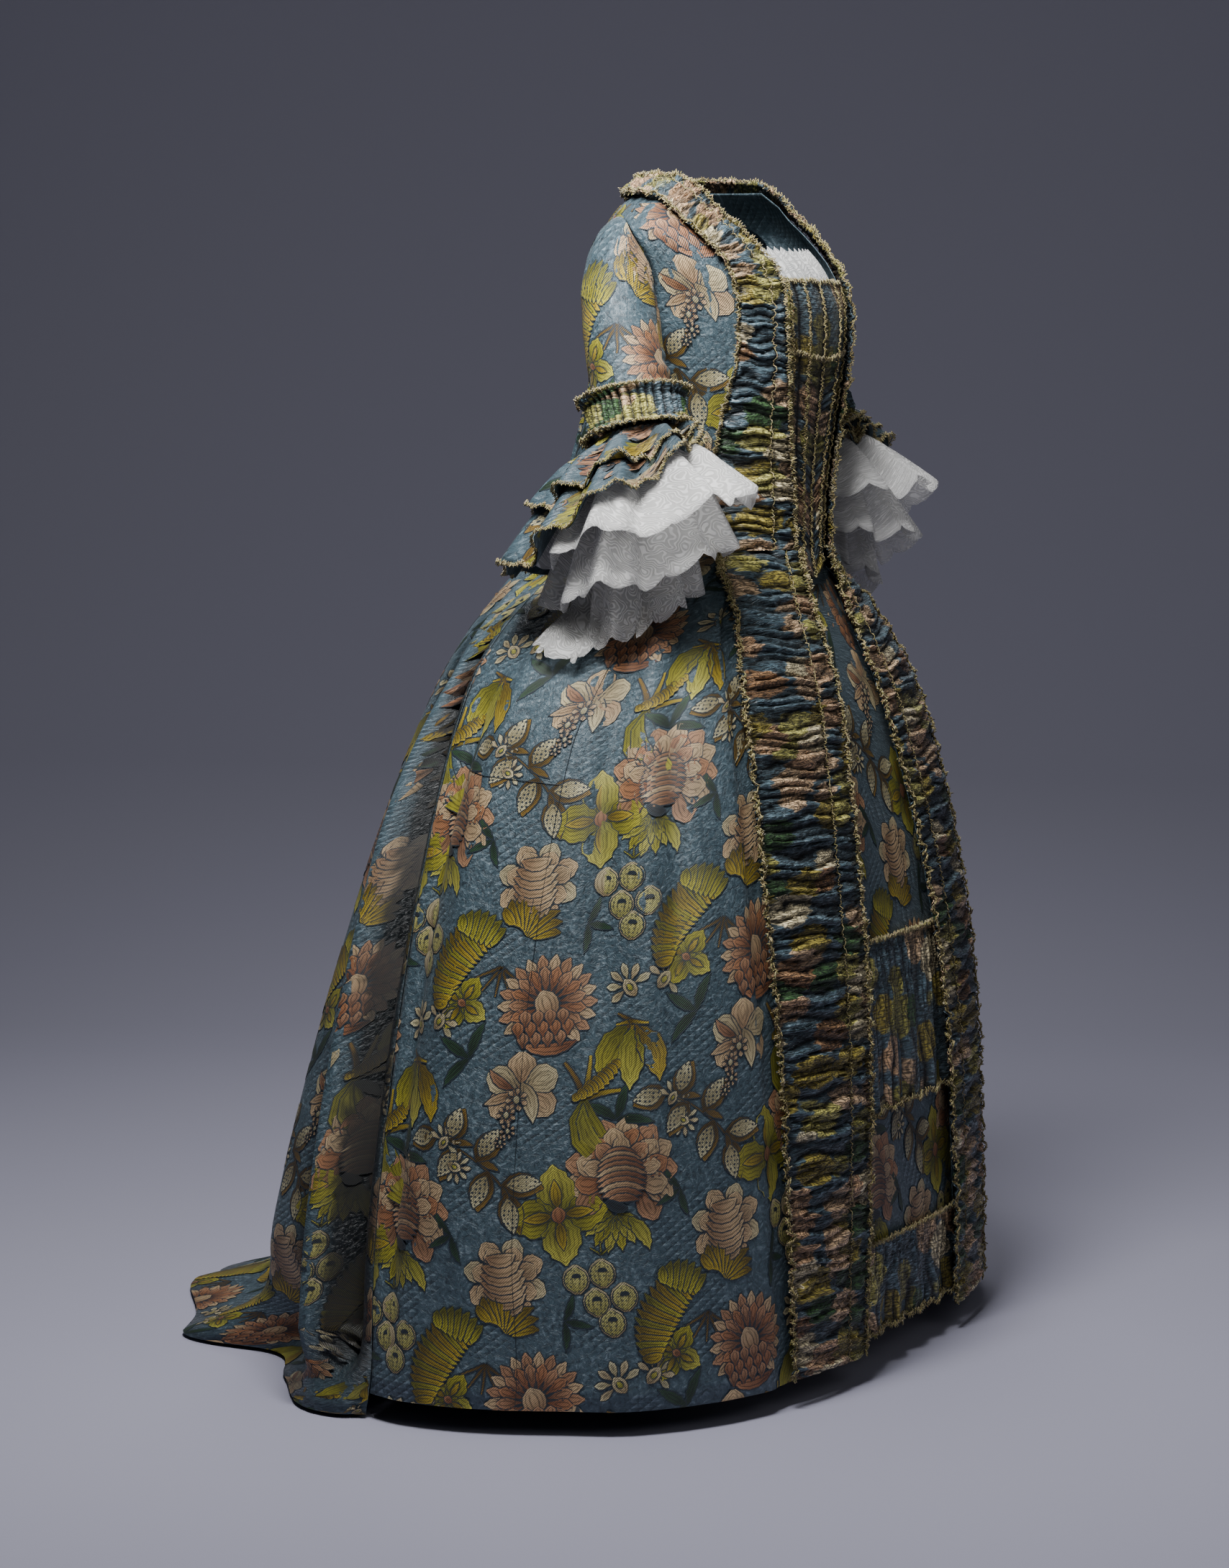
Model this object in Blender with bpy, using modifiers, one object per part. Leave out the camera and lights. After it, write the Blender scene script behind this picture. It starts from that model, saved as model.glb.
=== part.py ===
"""A sack-backed gown of the 1760s with its petticoat, stomacher, sleeve ruffles and lace, standing as worn.

Metres, +Z up. The wearer faces -Y and their right side is -X. Heights in the tables are measured
from the floor; the origin is midway between the shoulders that carry the gown.
Angles run round the body in degrees: 0 is the centre front, 90 the wearer's right side and 180 the
centre back. Paired pieces are worked out for the right side and mirrored for the left.
"""

import math

import bmesh
import bpy
from mathutils import Vector

HOLD_HEIGHT = 1.380        # floor to the shoulders that carry the gown
WAIST = 0.985              # floor to the waist seam
NECK = 1.436               # floor to the neckline at the nape
WALL = 0.0020              # brocade with its lining
LACE_WALL = 0.0012         # embroidered muslin
RIGHT, LEFT = "right", "left"

BROCADE = ("blue_brocade", (0.150, 0.200, 0.260, 1), 0.55)
TRIMMING = ("ruched_brocade", (0.170, 0.180, 0.130, 1), 0.60)
MUSLIN = ("white_muslin", (0.800, 0.800, 0.780, 1), 0.80)


# --- Tables and curves ---------------------------------------------------------------------------

def table(columns, *rows):
    """Rows of numbers as dictionaries with named columns."""
    names = columns.split()
    return [dict(zip(names, row)) for row in rows]


def read(rows, key, at):
    """Every column of a table at one value of its key, on a smooth curve through the rows."""
    at = min(max(at, rows[0][key]), rows[-1][key])
    first = max(i for i in range(len(rows) - 1) if rows[i][key] <= at)
    here, there = rows[first], rows[first + 1]
    before = rows[max(first - 1, 0)]
    after = rows[min(first + 2, len(rows) - 1)]
    span = there[key] - here[key]
    t = (at - here[key]) / span
    found = {key: at}
    for name in here:
        if name == key:
            continue
        slope_here = (there[name] - before[name]) / (there[key] - before[key]) * span
        slope_there = (after[name] - here[name]) / (after[key] - here[key]) * span
        found[name] = (
            (2 * t**3 - 3 * t**2 + 1) * here[name]
            + (t**3 - 2 * t**2 + t) * slope_here
            + (3 * t**2 - 2 * t**3) * there[name]
            + (t**3 - t**2) * slope_there
        )
    return found


def ease(low, high, at):
    """0 below low, 1 above high, and a smooth step between."""
    t = min(max((at - low) / (high - low), 0), 1)
    return t * t * (3 - 2 * t)


def mix(a, b, t):
    return a + (b - a) * t


def power(base, exponent):
    return math.copysign(abs(base) ** exponent, base)


# --- The forms that the cloth lies on --------------------------------------------------------------

# Level rings of the gown over its hoops. side is half the width, front and back are how far the ring
# reaches, middle is how far behind the axis it is widest, and a power below 1 makes a half squarer.
SKIRT = table(
    "height  side   front  middle  back   front_power  back_power",
    (0.004, 0.552, 0.262, 0.120, 0.730, 0.74, 1.25),
    (0.030, 0.551, 0.262, 0.120, 0.640, 0.74, 1.22),
    (0.060, 0.549, 0.262, 0.120, 0.568, 0.74, 1.18),
    (0.100, 0.546, 0.262, 0.120, 0.526, 0.74, 1.14),
    (0.180, 0.537, 0.262, 0.118, 0.498, 0.74, 1.10),
    (0.270, 0.525, 0.260, 0.112, 0.470, 0.74, 1.07),
    (0.370, 0.508, 0.256, 0.104, 0.440, 0.73, 1.04),
    (0.500, 0.482, 0.244, 0.092, 0.400, 0.72, 1.00),
    (0.640, 0.448, 0.222, 0.076, 0.357, 0.72, 0.97),
    (0.740, 0.415, 0.201, 0.062, 0.325, 0.73, 0.95),
    (0.810, 0.380, 0.184, 0.050, 0.301, 0.75, 0.93),
    (0.860, 0.340, 0.166, 0.040, 0.283, 0.78, 0.92),
    (0.900, 0.290, 0.150, 0.030, 0.265, 0.82, 0.90),
    (0.935, 0.225, 0.138, 0.020, 0.246, 0.86, 0.88),
    (0.960, 0.170, 0.133, 0.012, 0.230, 0.88, 0.86),
    (0.985, 0.130, 0.128, 0.000, 0.212, 0.90, 0.85),
)
# The corseted body under the bodice, up to the shoulders and the foot of the neck.
BODY = table(
    "height  side   front  middle  back   front_power  back_power",
    (0.985, 0.130, 0.128, 0.0, 0.080, 0.90, 0.95),
    (1.050, 0.132, 0.128, 0.0, 0.082, 0.88, 0.92),
    (1.120, 0.143, 0.133, 0.0, 0.088, 0.85, 0.88),
    (1.190, 0.156, 0.141, 0.0, 0.095, 0.83, 0.85),
    (1.250, 0.167, 0.145, 0.0, 0.102, 0.83, 0.82),
    (1.290, 0.174, 0.141, 0.0, 0.106, 0.84, 0.80),
    (1.330, 0.184, 0.119, 0.0, 0.106, 0.88, 0.78),
    (1.365, 0.188, 0.083, 0.0, 0.104, 0.92, 0.78),
    (1.390, 0.165, 0.056, 0.0, 0.098, 0.95, 0.82),
    (1.415, 0.122, 0.048, 0.0, 0.088, 1.00, 0.90),
    (1.436, 0.085, 0.045, 0.0, 0.080, 1.00, 1.00),
)
# The sack back hangs from the neckline, clear of the body: its reach, and the angle of its side seam.
SACK = table(
    "height  side   back   seam",
    (0.004, 0.552, 0.730, 99),
    (0.180, 0.537, 0.498, 101),
    (0.500, 0.482, 0.400, 106),
    (0.740, 0.415, 0.325, 111),
    (0.900, 0.290, 0.265, 117),
    (0.985, 0.175, 0.212, 124),
    (1.060, 0.155, 0.178, 128),
    (1.150, 0.148, 0.150, 133),
    (1.250, 0.148, 0.127, 139),
    (1.340, 0.140, 0.112, 143),
    (1.404, 0.110, 0.094, 145),
)
SACK_SWELL = 22            # degrees from the side seam to where the sack hangs free of the body


def ring_point(row, angle, height):
    """A point of one level ring, at its height above the floor."""
    across, along = math.sin(math.radians(angle)), math.cos(math.radians(angle))
    if along > 0:
        shape, reach = row["front_power"], row["front"] + row["middle"]
    else:
        shape, reach = row["back_power"], row["back"] - row["middle"]
    x = -row["side"] * power(across, shape)
    y = row["middle"] - reach * power(along, shape)
    return Vector((x, y, height - HOLD_HEIGHT))


def body_form(angle, height):
    """The surface under the bodice and the skirt."""
    rows = SKIRT if height < WAIST else BODY
    return ring_point(read(rows, "height", height), angle, height)


def back_form(angle, height):
    """The surface of the sack: on the body at its side seams, and hanging free between them."""
    fitted = body_form(angle, height)
    if height < WAIST:
        return fitted
    hang = read(SACK, "height", height)
    turn = min(angle, 360 - angle)
    radians = math.radians(angle)
    free = Vector((-hang["side"] * math.sin(radians), -hang["back"] * math.cos(radians), fitted.z))
    return fitted.lerp(free, ease(hang["seam"], hang["seam"] + SACK_SWELL, turn))


def moved_out(form, angle, height, distance, level=False):
    """A point of a form, moved along its outward normal, or level where folds hang from the waist."""
    turn, rise = 0.4, 0.002
    here = form(angle, height)
    forward = form(angle + turn, height) - form(angle - turn, height)
    low = min(max(height - rise, 0.004), NECK - 2 * rise)
    upward = form(angle, low + 2 * rise) - form(angle, low)
    normal = Vector((0, 0, 1)).cross(forward) if level else upward.cross(forward)
    normal.normalize()
    return here + normal * distance


def angle_at(form_rows, offset, height):
    """The angle where a ring's front half is this far from the centre line."""
    row = read(form_rows, "height", height)
    share = min(offset / row["side"], 1)
    return math.degrees(math.asin(share ** (1 / row["front_power"])))


def clear_of_gown(spot, gap):
    """A point pushed outwards, where it must be, to stand clear of the gown's form."""
    height = spot.z + HOLD_HEIGHT
    row = read(SKIRT if height < WAIST else BODY, "height", height)
    ahead = spot.y < row["middle"]
    reach = row["front"] + row["middle"] if ahead else row["back"] - row["middle"]
    shape = 2 / row["front_power" if ahead else "back_power"]
    level = (abs(spot.x) / (row["side"] + gap)) ** shape + (abs(spot.y - row["middle"]) / (reach + gap)) ** shape
    if level >= 1:
        return spot
    grow = level ** (-1 / shape)
    return Vector((spot.x * grow, row["middle"] + (spot.y - row["middle"]) * grow, spot.z))


# --- Cloth -----------------------------------------------------------------------------------------

def finish_of(kind):
    name, colour, roughness = kind
    found = bpy.data.materials.get(name)
    if found:
        return found
    made = bpy.data.materials.new(name)
    made.use_nodes = True
    shader = made.node_tree.nodes["Principled BSDF"]
    shader.inputs["Base Color"].default_value = colour
    shader.inputs["Roughness"].default_value = roughness
    return made


def cloth(name, columns, rows, point, kind=BROCADE, wall=WALL, tube=False, relief=None, side=RIGHT, grow=1):
    """A sheet of cloth: a grid shaped by point(across, down), then given its wall.

    A tube joins the last column to the first. relief(across, down) is the wall's own thickness
    where gathers stand up from a plain inside. The wall grows outwards, or inwards if grow is -1.
    """
    sheet = bmesh.new()
    bmesh.ops.create_grid(sheet, x_segments=columns, y_segments=rows, size=0.5)
    places = [(v.co.x + 0.5, v.co.y + 0.5) for v in sheet.verts]
    for vert, (across, down) in zip(sheet.verts, places):
        vert.co = point(across, down)
    heights = [relief(across, down) for across, down in places] if relief else [wall]
    if side == LEFT:
        bmesh.ops.scale(sheet, vec=(-1, 1, 1), verts=sheet.verts)
        bmesh.ops.reverse_faces(sheet, faces=sheet.faces)
    mesh = bpy.data.meshes.new(name)
    sheet.to_mesh(mesh)
    sheet.free()
    mesh.materials.append(finish_of(kind))
    made = bpy.data.objects.new(name, mesh)
    garment.objects.link(made)
    if relief:
        group = made.vertex_groups.new(name="height")
        for index, height in enumerate(heights):
            group.add([index], height / max(heights), "REPLACE")
    if tube:
        join = made.modifiers.new("join", "WELD")
        join.merge_threshold = 0.00001
    thickness = made.modifiers.new("wall", "SOLIDIFY")
    thickness.thickness = max(heights)
    thickness.offset = grow
    if relief:
        thickness.vertex_group = "height"
    mesh.shade_smooth()
    return made


def gathers(count, down, low, high):
    """The height of gathered cloth: high on each gather and low in the creases between them."""
    return mix(low, high, 0.5 - 0.5 * math.cos(2 * math.pi * count * down))


for old in list(bpy.data.objects):
    bpy.data.objects.remove(old)
garment = bpy.data.collections.new("sack_backed_gown")
bpy.context.scene.collection.children.link(garment)


# --- The gown's skirt: a panel on each side, pleated into the waist --------------------------------

# Where the robings lie on the skirt: how far their edges are from the centre line.
SKIRT_ROBING = table(
    "height  inner  outer",
    (0.030, 0.145, 0.298),
    (0.180, 0.138, 0.302),
    (0.370, 0.125, 0.305),
    (0.550, 0.108, 0.300),
    (0.670, 0.090, 0.285),
    (0.790, 0.066, 0.262),
    (0.860, 0.054, 0.230),
    (0.935, 0.046, 0.172),
    (0.984, 0.044, 0.118),
)
HEM = 0.030                # the gown clears the floor by this much at the front and sides
PANEL_FOLD = 0.009         # the skirt panel folds forward over the robing's outer edge
UNDER_ROBING = 0.004       # and lies this much deeper under it
FRONT_HIDDEN = 0.032       # the robing's inner edge hides the panel's own edge by this much
FOLD_START = 0.012         # how far that fold starts beyond the robing's edge
SKIRT_TOP = WAIST - 0.0025
SACK_TOP = 1.404           # the sack is sewn under the robing that crosses the nape
SEAM_WIDTH = 0.0030        # the side seams are open by this much, so that curved edges never meet
WIDTH_SEAM = 0.0006        # and the seams between two widths of silk by this much


def seam_turn(height):
    """The angle of the sack's side seam, and of the edge of the panel that meets it."""
    row = read(SACK, "height", height)
    return row["seam"], row["seam"] - math.degrees(SEAM_WIDTH / row["side"])


def degrees_of_seam(form, angle, height):
    """How far round a form a seam between two widths of silk is open, just before an angle."""
    turn = 0.2
    return turn * WIDTH_SEAM / (form(angle, height) - form(angle - turn, height)).length


def skirt_folds(angle, height):
    """How far the skirt's soft folds stand out: shallow at the sides, deeper towards the back."""
    edge = angle_at(SKIRT, read(SKIRT_ROBING, "height", height)["outer"] + FOLD_START, height)
    sunk = UNDER_ROBING * ease(edge, edge - 3.0, angle)
    front_fold = PANEL_FOLD * ease(edge, edge + 3.0, angle) * ease(0.985, 0.90, height) - sunk
    soft = 0.006 * math.sin(math.radians(angle * 9.0 + 40 * height)) * ease(50, 70, angle)
    pleats = 0.004 * math.sin(math.radians(angle * 24.0)) * ease(0.80, 0.93, height)
    return front_fold + soft * ease(0.97, 0.80, height) + pleats * ease(0.985, 0.96, height)


def skirt_height(down, top, hem):
    """Rows of the skirt lie closer together where it curves out from the waist."""
    return mix(top, hem, down ** 1.6)


def skirt_panel(name, side):
    def point(across, down):
        height = skirt_height(down, SKIRT_TOP, HEM)
        front = angle_at(SKIRT, read(SKIRT_ROBING, "height", height)["inner"] + FRONT_HIDDEN, height)
        angle = mix(front, seam_turn(height)[1], across)
        return moved_out(body_form, angle, height, skirt_folds(angle, height), level=True)

    cloth(name, 20, 11, point, side=side)


# --- The sack back: two double box pleats from the neckline, let go into the train -----------------

PLEAT_DEPTH = 0.013
TRAIN_HEM = 0.005          # the train lies on the floor


def box_pleats(share):
    """The pleats' height across the sack: share is 0 at the centre back and 1 at a side seam."""
    first = ease(0.02, 0.06, share) * (1 - ease(0.40, 0.46, share))
    second = 0.55 * ease(0.40, 0.46, share) * (1 - ease(0.72, 0.80, share))
    return first + second


def train_folds(share, height):
    """Below the waist the pleats open into rounded folds that deepen to the hem."""
    depth = mix(0.010, 0.026, ease(0.80, 0.10, height))
    drawn_in = 0.065 * ease(0.16, 0.03, height) * ease(0.15, 0.0, abs(share - 0.60))
    spread_out = mix(0.35, 1.0, ease(0.25, 0.60, share)) * ease(1.0, 0.97, share)
    return depth * spread_out * math.cos(math.radians(share * 900 - 99)) - drawn_in


def sack_point(share, down):
    height = mix(SACK_TOP, TRAIN_HEM, down)
    seam = seam_turn(height)[0]
    angle = mix(180 - degrees_of_seam(back_form, 180, height), seam, share)
    pleated = PLEAT_DEPTH * box_pleats(share) * mix(0.5, 1.0, ease(SACK_TOP, 1.33, height))
    standing = mix(pleated, train_folds(share, height), ease(1.00, 0.70, height))
    if height < WAIST:
        standing += skirt_folds(seam, height) * ease(0.8, 1.0, share)
    return moved_out(back_form, angle, height, standing + WALL, level=True)


# --- The bodice: a front and side in one for each side, cut away at the armhole --------------------

ARMHOLE = {"angle": 112, "height": 1.310, "half_turn": 23, "half_height": 0.070}
# The front edge runs up the stomacher, then round the neckline over the shoulder.
FRONT_EDGE = table(
    "height  angle",
    (0.985, 20.0),
    (1.054, 20.3),
    (1.129, 25.1),
    (1.215, 28.4),
    (1.260, 29.5),
    (1.310, 27.5),
    (1.345, 30.0),
    (1.372, 34.0),
    (1.395, 43.0),
    (1.412, 60.0),
    (1.424, 85.0),
    (1.432, 115.0),
)
BODICE_BOTTOM, BODICE_TOP = WAIST + 0.0015, 1.4025
EDGE_MARGIN = 3.0          # degrees of bodice that the robing's edge hides


def bodice_edge(share):
    """Angle and height along the bodice's outline: over the top, down the back, waist, up the front."""
    edge, along = divmod(share * 4, 1)
    top_front = read(FRONT_EDGE, "height", BODICE_TOP)["angle"] + EDGE_MARGIN
    if edge in (0, 4):
        return mix(top_front, seam_turn(BODICE_TOP)[1], along), BODICE_TOP
    if edge == 1:
        height = mix(BODICE_TOP, BODICE_BOTTOM, along)
        return seam_turn(height)[1], height
    if edge == 2:
        front = read(FRONT_EDGE, "height", BODICE_BOTTOM)["angle"] + EDGE_MARGIN
        return mix(seam_turn(BODICE_BOTTOM)[1], front, along), BODICE_BOTTOM
    height = mix(BODICE_BOTTOM, BODICE_TOP, along)
    return read(FRONT_EDGE, "height", height)["angle"] + EDGE_MARGIN, height


def armhole_edge(turn):
    """Angle and height on the armhole: turn is 0 at its front and 90 at the shoulder."""
    angle = ARMHOLE["angle"] - ARMHOLE["half_turn"] * math.cos(math.radians(turn))
    height = ARMHOLE["height"] + ARMHOLE["half_height"] * math.sin(math.radians(turn))
    return angle, height


def bodice(name, side):
    def point(round_hole, inwards):
        angle, height = bodice_edge(round_hole % 1)
        forwards = (ARMHOLE["angle"] - angle) / ARMHOLE["half_turn"]
        upwards = (height - ARMHOLE["height"]) / ARMHOLE["half_height"]
        hole_angle, hole_height = armhole_edge(math.degrees(math.atan2(upwards, forwards)))
        angle, height = mix(angle, hole_angle, inwards), mix(height, hole_height, inwards)
        return body_form(angle, height)

    cloth(name, 28, 4, point, tube=True, side=side)


# --- Sleeves -----------------------------------------------------------------------------------------

# Rings down the arm: centre, how far the sleeve's line leans outwards and forwards, and its half sizes.
SLEEVE = table(
    "along  x       y      height  lean  pitch  half_depth  half_width",
    (0.00, -0.188,  0.050, 1.318, 50.0,  0.0, 0.052, 0.064),
    (0.25, -0.204,  0.030, 1.278, 28.0,  2.0, 0.046, 0.051),
    (0.50, -0.220,  0.018, 1.240, 16.0,  6.0, 0.045, 0.050),
    (0.80, -0.236,  0.002, 1.196, 11.0, 11.0, 0.046, 0.048),
    (1.00, -0.246, -0.010, 1.162, 10.0, 14.0, 0.047, 0.048),
    (1.30, -0.256, -0.022, 1.118, 10.0, 16.0, 0.047, 0.048),
)
UNDERARM_GAP = 0.0065      # and keeps at least this far from the bodice's side
SLEEVE_GAP = 0.0050        # the sleeve stands this far out of the armhole, on its seam


def arm_frame(along):
    """The centre of a sleeve ring with its forward, outward and downward directions and half sizes."""
    row = read(SLEEVE, "along", along)
    lean, pitch = math.radians(row["lean"]), math.radians(row["pitch"])
    down = Vector((-math.sin(lean), -math.sin(pitch), -math.cos(lean))).normalized()
    outward = Vector((-math.cos(lean), 0, math.sin(lean)))
    forward = outward.cross(down).normalized()
    if forward.y > 0:
        forward.negate()
    outward = (outward - down * outward.dot(down)).normalized()
    centre = Vector((row["x"], row["y"], row["height"] - HOLD_HEIGHT))
    return centre, forward, outward, down, row["half_depth"], row["half_width"]


def arm_point(along, turn, distance=0.0):
    """A point round the sleeve: turn is 0 at the front and 90 on the outside."""
    centre, forward, outward, _, half_depth, half_width = arm_frame(along)
    turn = math.radians(turn)
    ahead = forward * ((half_depth + distance) * math.cos(turn))
    return centre + ahead + outward * ((half_width + distance) * math.sin(turn))


def sleeve(name, side):
    def point(round_arm, down):
        turn = 360 * (round_arm % 1)
        angle, height = armhole_edge(turn)
        seam = moved_out(body_form, angle, height, SLEEVE_GAP)
        spot = seam.lerp(arm_point(down, turn), min(down * 4, 1))
        return clear_of_gown(spot, UNDERARM_GAP)

    cloth(name, 16, 8, point, tube=True, side=side, grow=-1)


# --- Sleeve trimming: a ruched cuff, two flounces and three tiers of lace ----------------------------

CUFF_GATHERS = 12
CUFF_START, CUFF_END = 0.94, 1.24


def cuff(name, side):
    def point(round_arm, down):
        turn = 360 * (round_arm % 1)
        flare = 0.0035 + 0.004 * (abs(2 * down - 1) ** 2)
        return arm_point(mix(CUFF_START, CUFF_END, down), turn, flare)

    def relief(round_arm, down):
        return gathers(CUFF_GATHERS, round_arm, 0.0022, 0.0060)

    cloth(name, CUFF_GATHERS * 3, 2, point, TRIMMING, tube=True, relief=relief, side=side)


# start is where each ruffle is sewn along the sleeve, and inset how far inside it. front is its length
# before the elbow and longest its length at turn. It leans out from straight down by so many degrees.
RUFFLES = table(
    "name                start  inset   front  longest  turn  lean_front  lean_back",
    ("upper_flounce",     1.26, -0.0020, 0.020, 0.112, 165, 62, 40),
    ("lower_flounce",     1.26,  0.0025, 0.032, 0.190, 165, 60, 34),
    ("engageante_upper",  1.26,  0.0070, 0.120, 0.170, 115, 54, 26),
    ("engageante_middle", 1.26,  0.0110, 0.145, 0.212, 115, 32, 20),
    ("engageante_lower",  1.26,  0.0150, 0.165, 0.258, 115, 12, 10),
)
RUFFLE_WAVES, WAVE_DEPTH = 5, 0.060
# Where the gown pushes a ruffle aside, the layers keep their order: the outermost ruffle is next to the
# gown on the arm's inner side, and furthest from it on the outer side.
GOWN_CLEARANCE, TIER_CLEARANCE, MIDDLE_LAYER = 0.016, 0.006, 4.5


def ruffle(row, side, kind, wall, tier):
    def point(round_arm, down):
        turn = 360 * (round_arm % 1)
        long_side = 0.5 + 0.5 * math.cos(math.radians(turn - row["turn"]))
        fall = mix(row["front"], row["longest"], long_side) * down
        behind = 0.5 - 0.5 * math.cos(math.radians(turn))
        lean = math.radians(mix(row["lean_front"], row["lean_back"], behind))
        wave = WAVE_DEPTH * fall * math.sin(math.radians(turn * RUFFLE_WAVES))
        top = arm_point(row["start"], turn, -row["inset"])
        away = top - arm_frame(row["start"])[0]
        away.z = 0
        away.normalize()
        spot = top + away * (fall * math.sin(lean) + wave)
        spot.z -= fall * math.cos(lean)
        layer = MIDDLE_LAYER + (MIDDLE_LAYER - tier) * math.sin(math.radians(turn))
        return clear_of_gown(spot, GOWN_CLEARANCE + TIER_CLEARANCE * layer)

    cloth(f"{row['name']}_{side}", 26, 3, point, kind, wall=wall, tube=True, side=side)


# --- Robings: ruched bands from the hem to the waist, and on over the shoulder to the nape ------------

SKIRT_ROBING_LIFT, BODICE_ROBING_LIFT = 0.0050, 0.0050
CREASE, PUFF, SELVEDGE = 0.0025, 0.0090, 0.0035
SKIRT_GATHERS, BODICE_GATHERS = 30, 18
BODICE_ROBING = table(
    "along  height_in  angle_in  height_out  angle_out",
    (0.00, 0.9900, 20.0, 0.9900, 69.0),
    (0.10, 1.0500, 20.3, 1.0500, 68.8),
    (0.22, 1.1290, 25.1, 1.1290, 65.0),
    (0.34, 1.2150, 28.4, 1.2150, 56.5),
    (0.42, 1.2640, 29.5, 1.2640, 54.6),
    (0.50, 1.3100, 27.5, 1.3100, 53.3),
    (0.56, 1.3450, 30.0, 1.3320, 54.0),
    (0.62, 1.3720, 34.0, 1.3500, 57.0),
    (0.68, 1.3950, 43.0, 1.3680, 63.0),
    (0.75, 1.4120, 60.0, 1.3880, 77.0),
    (0.83, 1.4240, 88.0, 1.4010, 98.0),
    (0.91, 1.4280, 130.0, 1.4065, 130.0),
    (1.00, 1.4280, 179.7, 1.4065, 179.7),
)


def robing_relief(count):
    def relief(across, down):
        puff = SELVEDGE if across in (0, 1) else PUFF
        return gathers(count, down, CREASE, puff)

    return relief


def skirt_robing(name, side):
    def point(across, down):
        height = skirt_height(down, WAIST - 0.008, HEM + 0.004)
        edges = read(SKIRT_ROBING, "height", height)
        angle = angle_at(SKIRT, mix(edges["inner"], edges["outer"], across), height)
        return moved_out(body_form, angle, height, SKIRT_ROBING_LIFT)

    cloth(name, 3, SKIRT_GATHERS * 2, point, TRIMMING, relief=robing_relief(SKIRT_GATHERS), side=side)


def bodice_robing(name, side):
    def point(across, down):
        row = read(BODICE_ROBING, "along", 1 - down)
        angle = mix(row["angle_in"], row["angle_out"], across)
        height = mix(row["height_in"], row["height_out"], across)
        return moved_out(body_form, angle, height, BODICE_ROBING_LIFT)

    cloth(name, 3, BODICE_GATHERS * 2, point, TRIMMING, relief=robing_relief(BODICE_GATHERS), side=side)


# --- Stomacher with its ruched bands, and the muslin frill above it -----------------------------------

STOMACHER_TOP, STOMACHER_POINT = 1.309, 0.950
STOMACHER_BANDS = 4
STOMACHER_LIFT = -0.0070
TUCKER_TOP, TUCKER_PLEATS = 1.346, 8


def stomacher_point(across, down):
    swing = 2 * across - 1
    low = mix(STOMACHER_POINT, WAIST + 0.006, min(abs(swing) / 0.8, 1))
    height = mix(STOMACHER_TOP, low, down)
    half = read(FRONT_EDGE, "height", max(height, WAIST))["angle"] + 4
    return moved_out(body_form, swing * half, height, STOMACHER_LIFT)


def stomacher_relief(across, down):
    inside = ease(0.0, 0.16, across) * ease(1.0, 0.84, across)
    return mix(WALL * 0.9, gathers(STOMACHER_BANDS, across, 0.0030, 0.0065), inside)


def tucker_point(across, down):
    swing = 2 * across - 1
    height = mix(TUCKER_TOP, STOMACHER_TOP - 0.012, down)
    wave = 0.0022 * math.cos(math.radians(360 * TUCKER_PLEATS * across))
    return moved_out(body_form, swing * 28, height, -0.0150 + wave)


# --- The petticoat with its furbelow and hem ruffle ---------------------------------------------------

PETTICOAT_IN = 0.0200      # the petticoat hangs this far inside the gown at the front
PETTICOAT_IN_BACK = 0.0650
PETTICOAT_HEM = 0.055
FURBELOW = {"top": 0.520, "bottom": 0.325, "half": 0.215, "gathers": 7}
HEM_RUFFLE = {"top": 0.150, "bottom": 0.050, "half": 0.225, "gathers": 7}


# The widths of silk that make up its half round: the angles of their edges, front to back.
PETTICOAT_WIDTHS = table(
    "name     first  last  columns",
    ("front",     0,   30,   6),
    ("side",     30,  105,   6),
    ("back",    105,  180,   6),
)


def petticoat_width(row, side=RIGHT):
    """One width of silk. The front one lies on both sides of the centre line."""
    both_sides = row["first"] == 0

    def point(across, down):
        height = skirt_height(down, WAIST - 0.006, PETTICOAT_HEM)
        last = row["last"] - degrees_of_seam(body_form, row["last"], height)
        angle = mix(-last if both_sides else row["first"], last, across)
        spot = body_form(abs(angle), height)
        inwards = mix(PETTICOAT_IN, PETTICOAT_IN_BACK, ease(90, 140, abs(angle)))
        if angle < 0:
            spot.x = -spot.x
        centre = Vector((0, read(SKIRT, "height", height)["middle"], spot.z))
        return spot + (centre - spot).normalized() * inwards

    name = f"petticoat_{row['name']}" + ("" if both_sides else f"_{side}")
    cloth(name, row["columns"], 7, point, side=side)


def flounce_on_petticoat(name, sizes):
    def point(across, down):
        swing = 2 * across - 1
        height = mix(sizes["top"], sizes["bottom"], down)
        angle = math.copysign(angle_at(SKIRT, abs(swing) * sizes["half"], height), swing)
        wave = 0.0025 * down * math.cos(math.radians(360 * sizes["gathers"] * across))
        return moved_out(body_form, angle, height, 0.0075 - PETTICOAT_IN + wave)

    cloth(name, sizes["gathers"] * 4, 3, point, TRIMMING)


# --- The garment ---------------------------------------------------------------------------------------

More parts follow.
